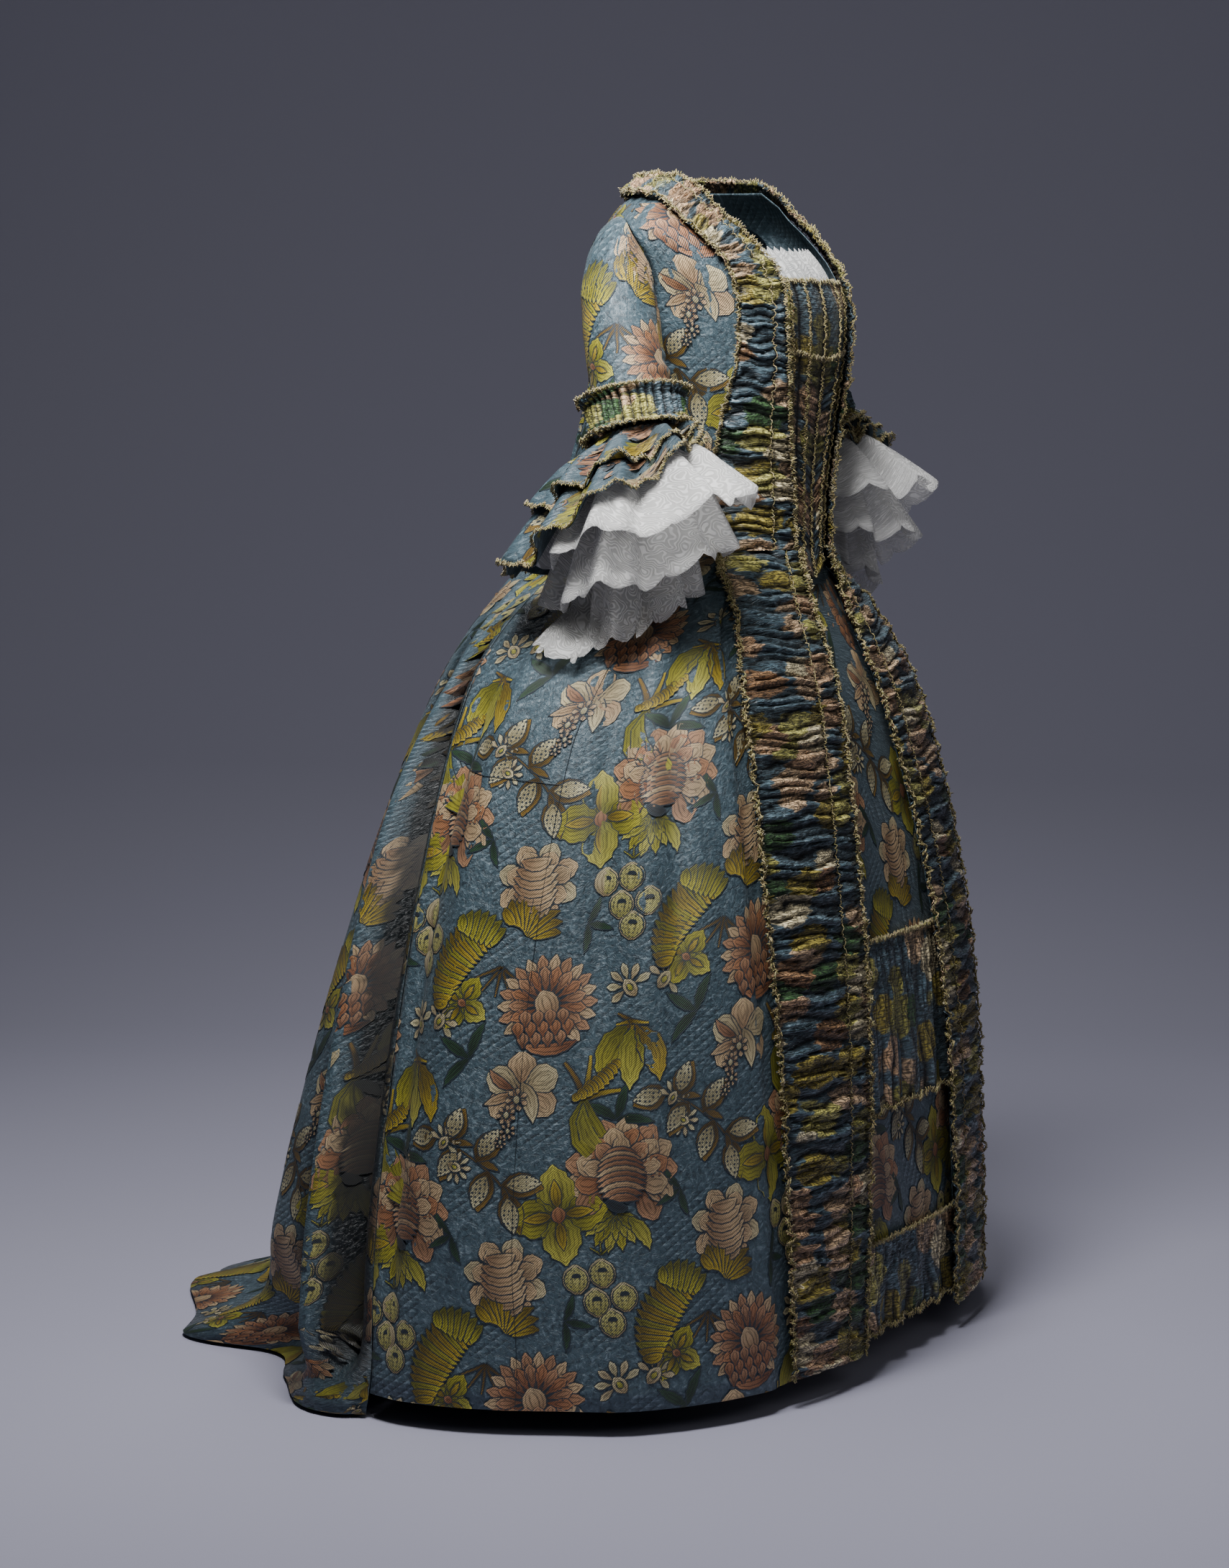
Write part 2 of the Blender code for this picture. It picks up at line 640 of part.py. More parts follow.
cloth("stomacher", 16, 5, stomacher_point, TRIMMING, relief=stomacher_relief)
cloth("tucker_frill", TUCKER_PLEATS * 3, 2, tucker_point, MUSLIN, wall=LACE_WALL)
petticoat_width(PETTICOAT_WIDTHS[0])
flounce_on_petticoat("furbelow", FURBELOW)
flounce_on_petticoat("hem_ruffle", HEM_RUFFLE)
for side in (RIGHT, LEFT):
    cloth(f"sack_back_{side}", 19, 13, sack_point, grow=1, side=side)
    for row in PETTICOAT_WIDTHS[1:]:
        petticoat_width(row, side)
    skirt_panel(f"skirt_{side}", side)
    bodice(f"bodice_{side}", side)
    sleeve(f"sleeve_{side}", side)
    cuff(f"cuff_{side}", side)
    skirt_robing(f"skirt_robing_{side}", side)
    bodice_robing(f"robing_{side}", side)
    for tier, row in enumerate(RUFFLES):
        lace = row["name"].startswith("engageante")
        ruffle(row, side, MUSLIN if lace else BROCADE, LACE_WALL if lace else WALL, tier)
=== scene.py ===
# %% [markdown]
# # A sack-backed gown of the 1760s
# This lesson dresses a finished model of a French court gown: an open gown with a sack back, its
# stomacher and petticoat, and the muslin ruffles that hang from its sleeves. The solids already have
# the cut and the pose. Here each one gets a finer cloth with the same shape, its folds and gathers, the
# brocade woven into the silk, the fly fringe and the whitework, and then the studio.
#
# Metres and +Z up. The wearer faces -Y and their right side is -X.

# %% Load the fixed model
import math

import bmesh
import bpy
import numpy as np
from mathutils import Matrix, Vector


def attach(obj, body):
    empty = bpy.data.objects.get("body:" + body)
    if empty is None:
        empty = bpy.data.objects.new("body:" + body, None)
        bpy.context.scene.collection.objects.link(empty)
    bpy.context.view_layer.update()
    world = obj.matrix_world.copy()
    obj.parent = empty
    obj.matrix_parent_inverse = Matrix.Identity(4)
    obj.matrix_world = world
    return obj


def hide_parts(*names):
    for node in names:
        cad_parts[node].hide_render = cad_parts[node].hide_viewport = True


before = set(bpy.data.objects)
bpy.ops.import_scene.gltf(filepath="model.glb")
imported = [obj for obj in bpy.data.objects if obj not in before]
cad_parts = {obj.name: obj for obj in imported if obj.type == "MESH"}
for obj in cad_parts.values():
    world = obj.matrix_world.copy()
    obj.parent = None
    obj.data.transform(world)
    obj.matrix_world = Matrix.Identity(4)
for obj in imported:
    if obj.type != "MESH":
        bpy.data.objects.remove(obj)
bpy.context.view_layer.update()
print("nodes to dress:", len(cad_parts))

# %% [markdown]
# ## The forms under the cloth
# A gown has no surface of its own until something fills it: stays shape the body, side hoops carry the
# skirt, and the sack hangs free from the neckline. One could sculpt those forms, but level rings read
# from a short table are easier to trust, because each number is a size that a maker could take with a
# tape. Every ring is a stretched circle. An angle goes round it, 0 at the centre front, 90 at the
# wearer's right and 180 at the centre back.
#
# NumPy works on all the points of a piece at once, so a fine cloth costs no more to write than a coarse
# one.

# %% Tables with named columns, read along a smooth curve
HOLD_HEIGHT = 1.380        # floor to the shoulders, where the origin is
WAIST, NECK = 0.985, 1.436
WALL = 0.0020              # thickness of the solids' cloth


def table(columns, *rows):
    """Rows of numbers, as one array for each named column."""
    return {name: np.array(column, float) for name, column in zip(columns.split(), zip(*rows))}


def read(rows, key, at):
    """Every column of a table at some values of its key, on a smooth curve through the rows."""
    keys = rows[key]
    at = np.clip(at, keys[0], keys[-1])
    here = np.clip(np.searchsorted(keys, at, side="right") - 1, 0, len(keys) - 2)
    there, before, after = here + 1, np.maximum(here - 1, 0), np.minimum(here + 2, len(keys) - 1)
    span = keys[there] - keys[here]
    t = (at - keys[here]) / span
    found = {}
    for name, column in rows.items():
        slope_here = (column[there] - column[before]) / (keys[there] - keys[before]) * span
        slope_there = (column[after] - column[here]) / (keys[after] - keys[here]) * span
        found[name] = (
            (2 * t**3 - 3 * t**2 + 1) * column[here]
            + (t**3 - 2 * t**2 + t) * slope_here
            + (3 * t**2 - 2 * t**3) * column[there]
            + (t**3 - t**2) * slope_there
        )
    return found


def ease(low, high, at):
    """0 below low, 1 above high, and a smooth step between."""
    t = np.clip((at - low) / (high - low), 0, 1)
    return t * t * (3 - 2 * t)


def mix(a, b, t):
    return a + (b - a) * t


def sine(degrees):
    return np.sin(np.radians(degrees))


def cosine(degrees):
    return np.cos(np.radians(degrees))


# %% The rings of the skirt, the body and the sack
SKIRT = table(
    "height  side   front  middle  back   front_power  back_power",
    (0.004, 0.552, 0.262, 0.120, 0.730, 0.74, 1.25),
    (0.030, 0.551, 0.262, 0.120, 0.640, 0.74, 1.22),
    (0.060, 0.549, 0.262, 0.120, 0.568, 0.74, 1.18),
    (0.100, 0.546, 0.262, 0.120, 0.526, 0.74, 1.14),
    (0.180, 0.537, 0.262, 0.118, 0.498, 0.74, 1.10),
    (0.270, 0.525, 0.260, 0.112, 0.470, 0.74, 1.07),
    (0.370, 0.508, 0.256, 0.104, 0.440, 0.73, 1.04),
    (0.500, 0.482, 0.244, 0.092, 0.400, 0.72, 1.00),
    (0.640, 0.448, 0.222, 0.076, 0.357, 0.72, 0.97),
    (0.740, 0.415, 0.201, 0.062, 0.325, 0.73, 0.95),
    (0.810, 0.380, 0.184, 0.050, 0.301, 0.75, 0.93),
    (0.860, 0.340, 0.166, 0.040, 0.283, 0.78, 0.92),
    (0.900, 0.290, 0.150, 0.030, 0.265, 0.82, 0.90),
    (0.935, 0.225, 0.138, 0.020, 0.246, 0.86, 0.88),
    (0.960, 0.170, 0.133, 0.012, 0.230, 0.88, 0.86),
    (0.985, 0.130, 0.128, 0.000, 0.212, 0.90, 0.85),
)
BODY = table(
    "height  side   front  middle  back   front_power  back_power",
    (0.985, 0.130, 0.128, 0.0, 0.080, 0.90, 0.95),
    (1.050, 0.132, 0.128, 0.0, 0.082, 0.88, 0.92),
    (1.120, 0.143, 0.133, 0.0, 0.088, 0.85, 0.88),
    (1.190, 0.156, 0.141, 0.0, 0.095, 0.83, 0.85),
    (1.250, 0.167, 0.145, 0.0, 0.102, 0.83, 0.82),
    (1.290, 0.174, 0.141, 0.0, 0.106, 0.84, 0.80),
    (1.330, 0.184, 0.119, 0.0, 0.106, 0.88, 0.78),
    (1.365, 0.188, 0.083, 0.0, 0.104, 0.92, 0.78),
    (1.390, 0.165, 0.056, 0.0, 0.098, 0.95, 0.82),
    (1.415, 0.122, 0.048, 0.0, 0.088, 1.00, 0.90),
    (1.436, 0.085, 0.045, 0.0, 0.080, 1.00, 1.00),
)
SACK = table(
    "height  side   back   seam",
    (0.004, 0.552, 0.730, 99),
    (0.180, 0.537, 0.498, 101),
    (0.500, 0.482, 0.400, 106),
    (0.740, 0.415, 0.325, 111),
    (0.900, 0.290, 0.265, 117),
    (0.985, 0.175, 0.212, 124),
    (1.060, 0.155, 0.178, 128),
    (1.150, 0.148, 0.150, 133),
    (1.250, 0.148, 0.127, 139),
    (1.340, 0.140, 0.112, 143),
    (1.404, 0.110, 0.094, 145),
)
SACK_SWELL = 22            # degrees from the side seam to where the sack hangs free
VISIBLE_SEAM = 0.0012      # what the cloth leaves open at the side seams


# %% Points on those forms, and points moved out from them
def curved(value, exponent):
    return np.copysign(np.abs(value) ** exponent, value)


def ring_point(row, angle, height):
    across, along = sine(angle), cosine(angle)
    shape = np.where(along > 0, row["front_power"], row["back_power"])
    reach = np.where(along > 0, row["front"] + row["middle"], row["back"] - row["middle"])
    x = -row["side"] * curved(across, shape)
    y = row["middle"] - reach * curved(along, shape)
    return np.stack([x, y, height - HOLD_HEIGHT], axis=-1)


def body_form(angle, height):
    """The surface under the bodice and the skirt."""
    skirt = ring_point(read(SKIRT, "height", height), angle, height)
    body = ring_point(read(BODY, "height", height), angle, height)
    return np.where((height < WAIST)[..., None], skirt, body)


def back_form(angle, height):
    """The surface of the sack: on the body at its side seams, and hanging free between them."""
    fitted = body_form(angle, height)
    hang = read(SACK, "height", height)
    free = np.stack([-hang["side"] * sine(angle), -hang["back"] * cosine(angle), fitted[..., 2]], axis=-1)
    turn = np.minimum(angle, 360 - angle)
    loose = ease(hang["seam"], hang["seam"] + SACK_SWELL, turn) * (height >= WAIST)
    return mix(fitted, free, loose[..., None])


def unit(vectors):
    return vectors / np.maximum(np.linalg.norm(vectors, axis=-1, keepdims=True), 1e-9)


def moved_out(form, angle, height, distance, level=False):
    """A point of a form moved along its outward normal, or level where folds hang from the waist."""
    angle, height = np.broadcast_arrays(np.asarray(angle, float), np.asarray(height, float))
    turn, rise = 0.4, 0.002    # degrees and metres to the points that give the slope
    forward = form(angle + turn, height) - form(angle - turn, height)
    low = np.clip(height - rise, SKIRT["height"][0], NECK - 2 * rise)
    upward = form(angle, low + 2 * rise) - form(angle, low)
    normal = np.cross((0, 0, 1), forward) if level else np.cross(upward, forward)
    return form(angle, height) + unit(normal) * np.broadcast_to(distance, angle.shape)[..., None]


def angle_at(offset, height):
    """The angle where a skirt ring's front half is this far from the centre line."""
    row = read(SKIRT, "height", height)
    return np.degrees(np.arcsin(np.minimum(offset / row["side"], 1) ** (1 / row["front_power"])))


def clear_of_gown(spots, gap):
    """Points pushed outwards, where they must be, to stand clear of the gown."""
    height = spots[..., 2] + HOLD_HEIGHT
    skirt, body = read(SKIRT, "height", height), read(BODY, "height", height)
    row = {name: np.where(height < WAIST, skirt[name], body[name]) for name in BODY}
    back = spots[..., 1] - row["middle"]
    reach = np.where(back < 0, row["front"] + row["middle"], row["back"] - row["middle"])
    shape = 2 / np.where(back < 0, row["front_power"], row["back_power"])
    level = (np.abs(spots[..., 0]) / (row["side"] + gap)) ** shape + (np.abs(back) / (reach + gap)) ** shape
    grow = np.maximum(np.maximum(level, 1e-6) ** (-1 / shape), 1)
    return np.stack([spots[..., 0] * grow, row["middle"] + back * grow, spots[..., 2]], axis=-1)


print("waist ring:", body_form(np.array([0.0, 90.0, 180.0]), np.full(3, WAIST - 0.001)).round(3).tolist())

# %% [markdown]
# ## Sewing one cloth
# Woven cloth bends easily and hardly stretches, so a good model of it is a thin sheet that keeps its
# lengths. It could be simulated, but a gown like this was arranged by hand, fold by fold. So each piece
# starts as a flat grid, as cloth starts on a table, and every point of the grid is then moved to its
# place on the form. The Solidify modifier gives it a wall.
#
# The UV map is measured in metres along the cloth itself. A pattern drawn in it keeps its real size on
# a flat panel, and is drawn together with the cloth where the cloth is gathered.

# %% A grid becomes a cloth
CLOTHS, TRIMS = {}, {}     # what is known of each cloth, and the pieces sewn to it
JOIN_GAP = 0.00001         # metres within which the two ends of a tube are joined


def put_on(name, data, wearer=None):
    """An object for a mesh or a curve, which moves with the gown and may trim a cloth."""
    piece = bpy.data.objects.new(name, data)
    bpy.context.scene.collection.objects.link(piece)
    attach(piece, "root")
    if wearer:
        TRIMS[wearer].append(piece)
    return piece


def arc_lengths(steps, axis):
    start = np.zeros_like(np.take(steps, [0], axis=axis))
    return np.concatenate([start, np.cumsum(steps, axis=axis)], axis=axis)


def measure(name, grid, pin=0.0, surface=0.0):
    """Notes where a cloth lies, and the metres across and down it."""
    across = arc_lengths(np.linalg.norm(np.diff(grid, axis=0), axis=-1), 0)
    across -= across[round(pin * (len(grid) - 1))]
    down = arc_lengths(np.linalg.norm(np.diff(grid, axis=1), axis=-1).mean(axis=0), 0)
    facing = unit(np.cross(np.gradient(grid, axis=0), np.gradient(grid, axis=1)))
    CLOTHS[name] = {"grid": grid, "across": across, "down": down, "facing": facing, "surface": surface}
    return across, down


def sew(name, columns, rows, shape, finish, tube=False, wall=0.0010, grow=1, pin=0.0, puff=None, lay=None,
        hollow=None):
    """A cloth of columns by rows, shaped by shape(across, down), each from 0 to 1.

    pin is where across the cloth its pattern starts. puff(across, down) is how high a gather stands,
    which the finish reads as an attribute. lay(across, down) is where on flat silk each point lies, for
    a cloth whose grid doesn't follow the thread. hollow(across, down) is how deep in a fold it lies.
    """
    sheet = bmesh.new()
    bmesh.ops.create_grid(sheet, x_segments=columns, y_segments=rows, size=0.5)
    places = np.array([(v.co.x + 0.5, v.co.y + 0.5) for v in sheet.verts])
    mesh = bpy.data.meshes.new(name)
    sheet.to_mesh(mesh)
    sheet.free()
    spots = shape(places[:, 0], places[:, 1])
    mesh.vertices.foreach_set("co", spots.ravel())
    column = np.rint(places[:, 0] * columns).astype(int)
    row = np.rint(places[:, 1] * rows).astype(int)
    grid = np.empty((columns + 1, rows + 1, 3))
    grid[column, row] = spots
    across, down = measure(name, grid, pin, wall if grow > 0 else 0.0)
    corners = np.empty(len(mesh.loops), np.int32)
    mesh.loops.foreach_get("vertex_index", corners)
    metres = lay(places[:, 0], places[:, 1]) if lay else np.stack([across[column, row], down[row]], axis=1)
    mesh.uv_layers.new(name="cloth").data.foreach_set("uv", metres[corners].ravel())
    for key, field in (("puff", puff), ("hollow", hollow)):
        if field:
            values = field(places[:, 0], places[:, 1])
            mesh.attributes.new(key, "FLOAT", "POINT").data.foreach_set("value", values)
            CLOTHS[name][key] = np.empty((columns + 1, rows + 1))
            CLOTHS[name][key][column, row] = values
    mesh.materials.append(finish)
    mesh.shade_smooth()
    TRIMS[name] = []
    piece = put_on(name, mesh)
    if tube:
        piece.modifiers.new("join", "WELD").merge_threshold = JOIN_GAP
    thickness = piece.modifiers.new("wall", "SOLIDIFY")
    thickness.thickness, thickness.offset = wall, grow
    print(f"{name}: {columns} by {rows} squares, {down[-1]:.3f} m long")


# %% Finding a place on a cloth
def on_cloth(name, across, down, lift):
    """Points of a cloth, given in metres across and down it, and lifted off its outer side."""
    cloth = CLOTHS[name]
    grid, facing, widths = cloth["grid"], cloth["facing"], cloth["across"]
    rows = np.interp(down, cloth["down"], np.arange(len(cloth["down"])))
    above = np.minimum(rows.astype(int), len(cloth["down"]) - 2)
    part = (rows - above)[:, None]
    spots, out = np.zeros((len(rows), 3)), np.zeros((len(rows), 3))
    for step, share in ((0, 1 - part), (1, part)):
        for row in np.unique(above):
            here = above == row
            columns = np.interp(across[here], widths[:, row + step], np.arange(len(widths)))
            left = np.minimum(columns.astype(int), len(widths) - 2)
            turn = (columns - left)[:, None]
            spots[here] += share[here] * mix(grid[left, row + step], grid[left + 1, row + step], turn)
            out[here] += share[here] * mix(facing[left, row + step], facing[left + 1, row + step], turn)
    return spots + unit(out) * (cloth["surface"] + lift)[:, None]


def hollow_at(name, across, down):
    """How deep in a fold points of a cloth lie."""
    cloth = CLOTHS[name]
    rows = np.rint(np.interp(down, cloth["down"], np.arange(len(cloth["down"])))).astype(int)
    columns = np.zeros(len(rows), int)
    for row in np.unique(rows):
        here = rows == row
        places = np.interp(across[here], cloth["across"][:, row], np.arange(len(cloth["across"])))
        columns[here] = np.rint(places)
    return cloth["hollow"][columns, rows]


def off_cloth(name, across, down):
    """Which points lie beyond the edges of a cloth."""
    cloth = CLOTHS[name]
    first = np.interp(down, cloth["down"], cloth["across"][0])
    last = np.interp(down, cloth["down"], cloth["across"][-1])
    return (across < first) | (across > last) | (down < 0) | (down > cloth["down"][-1])


# %% The left side is the right side turned over
def turned_over(piece, name):
    """A copy of a piece for the wearer's left."""
    other = piece.copy()
    other.data = piece.data.copy()
    other.name = other.data.name = name
    other.data.transform(Matrix.Diagonal((-1, 1, 1, 1)))
    if piece.type == "MESH":
        other.data.flip_normals()
    bpy.context.scene.collection.objects.link(other)
    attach(other, "root")
    return other

# %% [markdown]
# ## Dyes and nodes
# Each finish below is a node tree that reads the cloth's own UV map in metres, so every size in it is
# the real size on the loom. An image could be painted instead, but nodes stay sharp at any distance.
# Colours are written as sRGB hex values, as a dyer's card would give them, and one function turns them
# to the linear values that Blender mixes. Silk, linen and muslin are all fibres that bend light much
# alike, so the shader's own refraction stays, and roughness, relief and colour set the finishes apart.

# %% One function for a dye, and one for a node
def dye(hex_colour):
    channels = [int(hex_colour[i:i + 2], 16) / 255 for i in (1, 3, 5)]
    return [c / 12.92 if c <= 0.04045 else ((c + 0.055) / 1.055) ** 2.4 for c in channels] + [1.0]


def add(tree, kind, inputs=None, stops=(), **settings):
    """Adds a node with its settings, fills or links its inputs, and gives a colour ramp its dyes."""
    made = tree.nodes.new(kind)
    for key, value in settings.items():
        setattr(made, key, value)
    for key, value in (inputs or {}).items():
        if isinstance(value, bpy.types.NodeSocket):
            tree.links.new(value, made.inputs[key])
        else:
            made.inputs[key].default_value = value
    if stops:
        band = made.color_ramp
        band.interpolation = "EASE"
        while len(band.elements) < len(stops):
            band.elements.new(0.5)
        for element, (position, colour) in zip(band.elements, stops):
            element.position, element.color = position, dye(colour)
    return made


def new_finish(name):
    """A material with its node tree, its shader and the coordinates on the cloth."""
    finish = bpy.data.materials.new(name)
    finish.use_nodes = True
    tree = finish.node_tree
    return finish, tree, tree.nodes["Principled BSDF"]


print("a dye in linear values:", [round(value, 3) for value in dye("#41545d")])

# %% [markdown]
# ## The ground of the silk
# The ground is a blue-grey silk with a figure woven in its own colour: a lattice of small diamonds, each
# half lit, and scrolling lines between. A loom makes it by letting the warp or the weft float on top, so
# figure and ground differ in the way they shine more than in colour. The floats are drawn as a change of
# colour, which is painted sheen, and of roughness and a little bump. Threads 0.2 mm apart are too fine to
# show, so a puckering of 3 to 7 mm stands in for the uneven tension that crinkles an old silk. The
# puckering is a bump and is also painted into the colour as highlight and shade: lighter on its ridges,
# darker in its hollows.

# %% Finish: figured silk
LATTICE, DRAWN_OUT = 0.0078, 0.72          # metres between the lattice's lines, and the diamonds' shape
SCROLLS, REGIONS, PUCKERS, WORN = 26.0, 11.0, 150.0, 4.0   # to a metre: every 38, 90, 7 and 250 mm
WINDINGS = 44.0            # how often the scrolling lines turn
FOLD_SHADE = 0.07          # what is left of the colour at the bottom of a deep fold


def lattice_figure(tree, cloth):
    """0 to 1 across the half-lit diamonds of the woven lattice."""
    turned = add(tree, "ShaderNodeMapping", {
        "Vector": cloth, "Rotation": (0, 0, math.radians(45)),
        "Scale": (DRAWN_OUT / LATTICE, 1 / LATTICE, 1)})
    cell = add(tree, "ShaderNodeVectorMath", {0: turned.outputs[0]}, operation="FRACTION")
    parts = add(tree, "ShaderNodeSeparateXYZ", {0: cell.outputs[0]})
    half = add(tree, "ShaderNodeMath", {0: parts.outputs[0], 1: parts.outputs[1]}, operation="GREATER_THAN")
    shade = add(tree, "ShaderNodeMath", {0: parts.outputs[0], 1: parts.outputs[1]}, operation="MULTIPLY")
    lit = add(tree, "ShaderNodeMath", {0: half.outputs[0], 1: 0.55, 2: shade.outputs[0]},
              operation="MULTIPLY_ADD")
    return lit.outputs[0]


def silk_ground(tree, cloth):
    """The colour, roughness and relief of the figured ground."""
    lattice = lattice_figure(tree, cloth)
    drift = add(tree, "ShaderNodeTexNoise", {
        "Vector": cloth, "Scale": SCROLLS, "Detail": 1.5, "Distortion": 0.8})
    winding = add(tree, "ShaderNodeMath", {0: drift.outputs["Fac"], 1: WINDINGS}, operation="MULTIPLY")
    winding = add(tree, "ShaderNodeMath", {0: winding.outputs[0]}, operation="SINE")
    scroll = add(tree, "ShaderNodeMapRange", {
        "Value": winding.outputs[0], "From Min": -0.6, "From Max": 0.9, "To Min": 0.36, "To Max": 0.78})
    place = add(tree, "ShaderNodeTexNoise", {"Vector": cloth, "Scale": REGIONS, "Detail": 1.0})
    region = add(tree, "ShaderNodeMapRange", {
        "Value": place.outputs["Fac"], "From Min": 0.45, "From Max": 0.50})
    figure = add(tree, "ShaderNodeMix", {
        0: region.outputs[0], 2: lattice, 3: scroll.outputs[0]}, data_type="FLOAT")
    # The puckers go into the colour below as painted highlight and shade, as well as into the bump.
    pucker = add(tree, "ShaderNodeTexNoise", {
        "Vector": cloth, "Scale": PUCKERS, "Detail": 4.0, "Roughness": 0.65, "Distortion": 1.2})
    crinkle = add(tree, "ShaderNodeMapRange", {
        "Value": pucker.outputs["Fac"], "From Min": 0.30, "From Max": 0.70})
    figure_share = add(tree, "ShaderNodeMath", {0: figure.outputs[0], 1: 0.42}, operation="MULTIPLY")
    both = add(tree, "ShaderNodeMath", {
        0: crinkle.outputs[0], 1: 0.52, 2: figure_share.outputs[0]}, operation="MULTIPLY_ADD")
    colour = add(tree, "ShaderNodeValToRGB", {"Fac": both.outputs[0]}, (
        (0.14, "#1b252b"), (0.50, "#41545d"), (0.92, "#8497a1")))
    wear = add(tree, "ShaderNodeTexNoise", {"Vector": cloth, "Scale": WORN, "Detail": 2.0})
    wear_share = add(tree, "ShaderNodeMath", {0: wear.outputs["Fac"], 1: 0.5}, operation="MULTIPLY")
    faded = add(tree, "ShaderNodeMix", {
        0: wear_share.outputs[0], 6: colour.outputs["Color"], 7: dye("#43555f")}, data_type="RGBA")
    rough = add(tree, "ShaderNodeMapRange", {"Value": figure.outputs[0], "To Min": 0.52, "To Max": 0.34})
    low = add(tree, "ShaderNodeMath", {0: figure.outputs[0], 1: 0.11}, operation="MULTIPLY")
    relief = add(tree, "ShaderNodeMath", {
        0: crinkle.outputs[0], 1: 0.65, 2: low.outputs[0]}, operation="MULTIPLY_ADD")
    return faded.outputs[2], rough.outputs[0], relief.outputs[0]


def painted_fold_shade(tree, colour):
    """The colour, darker deep in a fold, as painted shade where the light doesn't reach."""
    hollow = add(tree, "ShaderNodeAttribute", attribute_name="hollow").outputs["Fac"]
    fold_darkening = add(tree, "ShaderNodeMapRange", {"Value": hollow, "To Min": 1.0, "To Max": FOLD_SHADE})
    darker = add(tree, "ShaderNodeMix", {
        0: 1.0, 6: colour, 7: fold_darkening.outputs[0]}, data_type="RGBA", blend_type="MULTIPLY")
    return darker.outputs[2]


figured_silk, tree, shader = new_finish("figured_silk_ground")
cloth = add(tree, "ShaderNodeUVMap", uv_map="cloth").outputs[0]
colour, rough, relief = silk_ground(tree, cloth)
bump = add(tree, "ShaderNodeBump", {"Height": relief, "Distance": 0.0013, "Strength": 1.0})
tree.links.new(painted_fold_shade(tree, colour), shader.inputs["Base Color"])
tree.links.new(rough, shader.inputs["Roughness"])
tree.links.new(bump.outputs[0], shader.inputs["Normal"])
shader.inputs["Sheen Weight"].default_value = 0.06
shader.inputs["Sheen Roughness"].default_value = 0.4

# %% [markdown]
# ## The brocaded threads
# Brocading adds short coloured threads only where a flower needs them, so each petal is a small patch of
# floats that stands on the ground, with a diagonal twill across it. The dyer's colours run from a deep
# tone at the root of a petal to a light one at its tip, and the ground shows as a dark line round it.
# One finish serves every colour: it reads the colour from the petal itself, and draws the twill, the
# ribs and the ragged outline. A twill of 0.5 mm would vanish, so its lines are 2 mm apart.

# %% Finish: brocaded floats
OUTLINE = 1.35             # millimetres of dark ground round each petal
NEST = 5.0                 # millimetres between the lines that follow a broad petal's edge
TWILL, RIBS = 2250.0, 9.5  # radians to a metre across the twill, and from a petal's middle to its side
RAGGED, HANDLED, SEEDS = 420.0, 45.0, 210.0    # to a metre: every 2.4, 22 and 5 mm
brocaded, tree, shader = new_finish("brocaded_silk_floats")
thread = add(tree, "ShaderNodeAttribute", attribute_name="thread").outputs["Color"]
petal = add(tree, "ShaderNodeAttribute", attribute_name="petal").outputs["Vector"]
parts = add(tree, "ShaderNodeSeparateXYZ", {0: petal})
side, from_edge, spots = parts.outputs
cloth = add(tree, "ShaderNodeAttribute", attribute_name="place").outputs["Vector"]
diagonal = add(tree, "ShaderNodeVectorMath", {0: cloth, 1: (1.0, -1.0, 0.0)}, operation="DOT_PRODUCT")
twill = add(tree, "ShaderNodeMath", {0: diagonal.outputs["Value"], 1: TWILL}, operation="MULTIPLY")
twill = add(tree, "ShaderNodeMath", {0: twill.outputs[0]}, operation="SINE")
ribs = add(tree, "ShaderNodeMath", {0: side, 1: RIBS}, operation="MULTIPLY")
ribs = add(tree, "ShaderNodeMath", {0: ribs.outputs[0]}, operation="COSINE")
rib_shade = add(tree, "ShaderNodeMapRange", {
    "Value": ribs.outputs[0], "From Min": -1.0, "From Max": -0.6, "To Min": 0.66})
ragged = add(tree, "ShaderNodeTexNoise", {"Vector": cloth, "Scale": RAGGED, "Detail": 1.0})
ragged = add(tree, "ShaderNodeMath", {
    0: ragged.outputs["Fac"], 1: -2.2, 2: from_edge}, operation="MULTIPLY_ADD")
inside = add(tree, "ShaderNodeMapRange", {
    "Value": ragged.outputs[0], "From Min": OUTLINE - 1.3, "From Max": OUTLINE - 0.6})
twill_shade = add(tree, "ShaderNodeMapRange", {
    "Value": twill.outputs[0], "From Min": -1.0, "To Min": 0.60, "To Max": 1.15})
shade = add(tree, "ShaderNodeMath", {
    0: rib_shade.outputs[0], 1: twill_shade.outputs[0]}, operation="MULTIPLY")
nested = add(tree, "ShaderNodeMath", {0: ragged.outputs[0], 1: 2 * math.pi / NEST}, operation="MULTIPLY")
nested = add(tree, "ShaderNodeMath", {0: nested.outputs[0]}, operation="SINE")
nest_line = add(tree, "ShaderNodeMapRange", {
    "Value": nested.outputs[0], "From Min": -1.0, "From Max": -0.62, "To Min": 0.34})
shade = add(tree, "ShaderNodeMath", {0: shade.outputs[0], 1: nest_line.outputs[0]}, operation="MULTIPLY")
handled = add(tree, "ShaderNodeTexNoise", {"Vector": cloth, "Scale": HANDLED, "Detail": 2.0})
handled = add(tree, "ShaderNodeMapRange", {
    "Value": handled.outputs["Fac"], "From Min": 0.3, "From Max": 0.7, "To Min": 0.72, "To Max": 1.15})
shade = add(tree, "ShaderNodeMath", {0: shade.outputs[0], 1: handled.outputs[0]}, operation="MULTIPLY")
seeds = add(tree, "ShaderNodeTexVoronoi", {"Vector": cloth, "Scale": SEEDS, "Randomness": 0.3}, feature="F1")
seed = add(tree, "ShaderNodeMath", {0: seeds.outputs["Distance"], 1: 0.30}, operation="LESS_THAN")
seed = add(tree, "ShaderNodeMath", {0: seed.outputs[0], 1: spots}, operation="MULTIPLY")
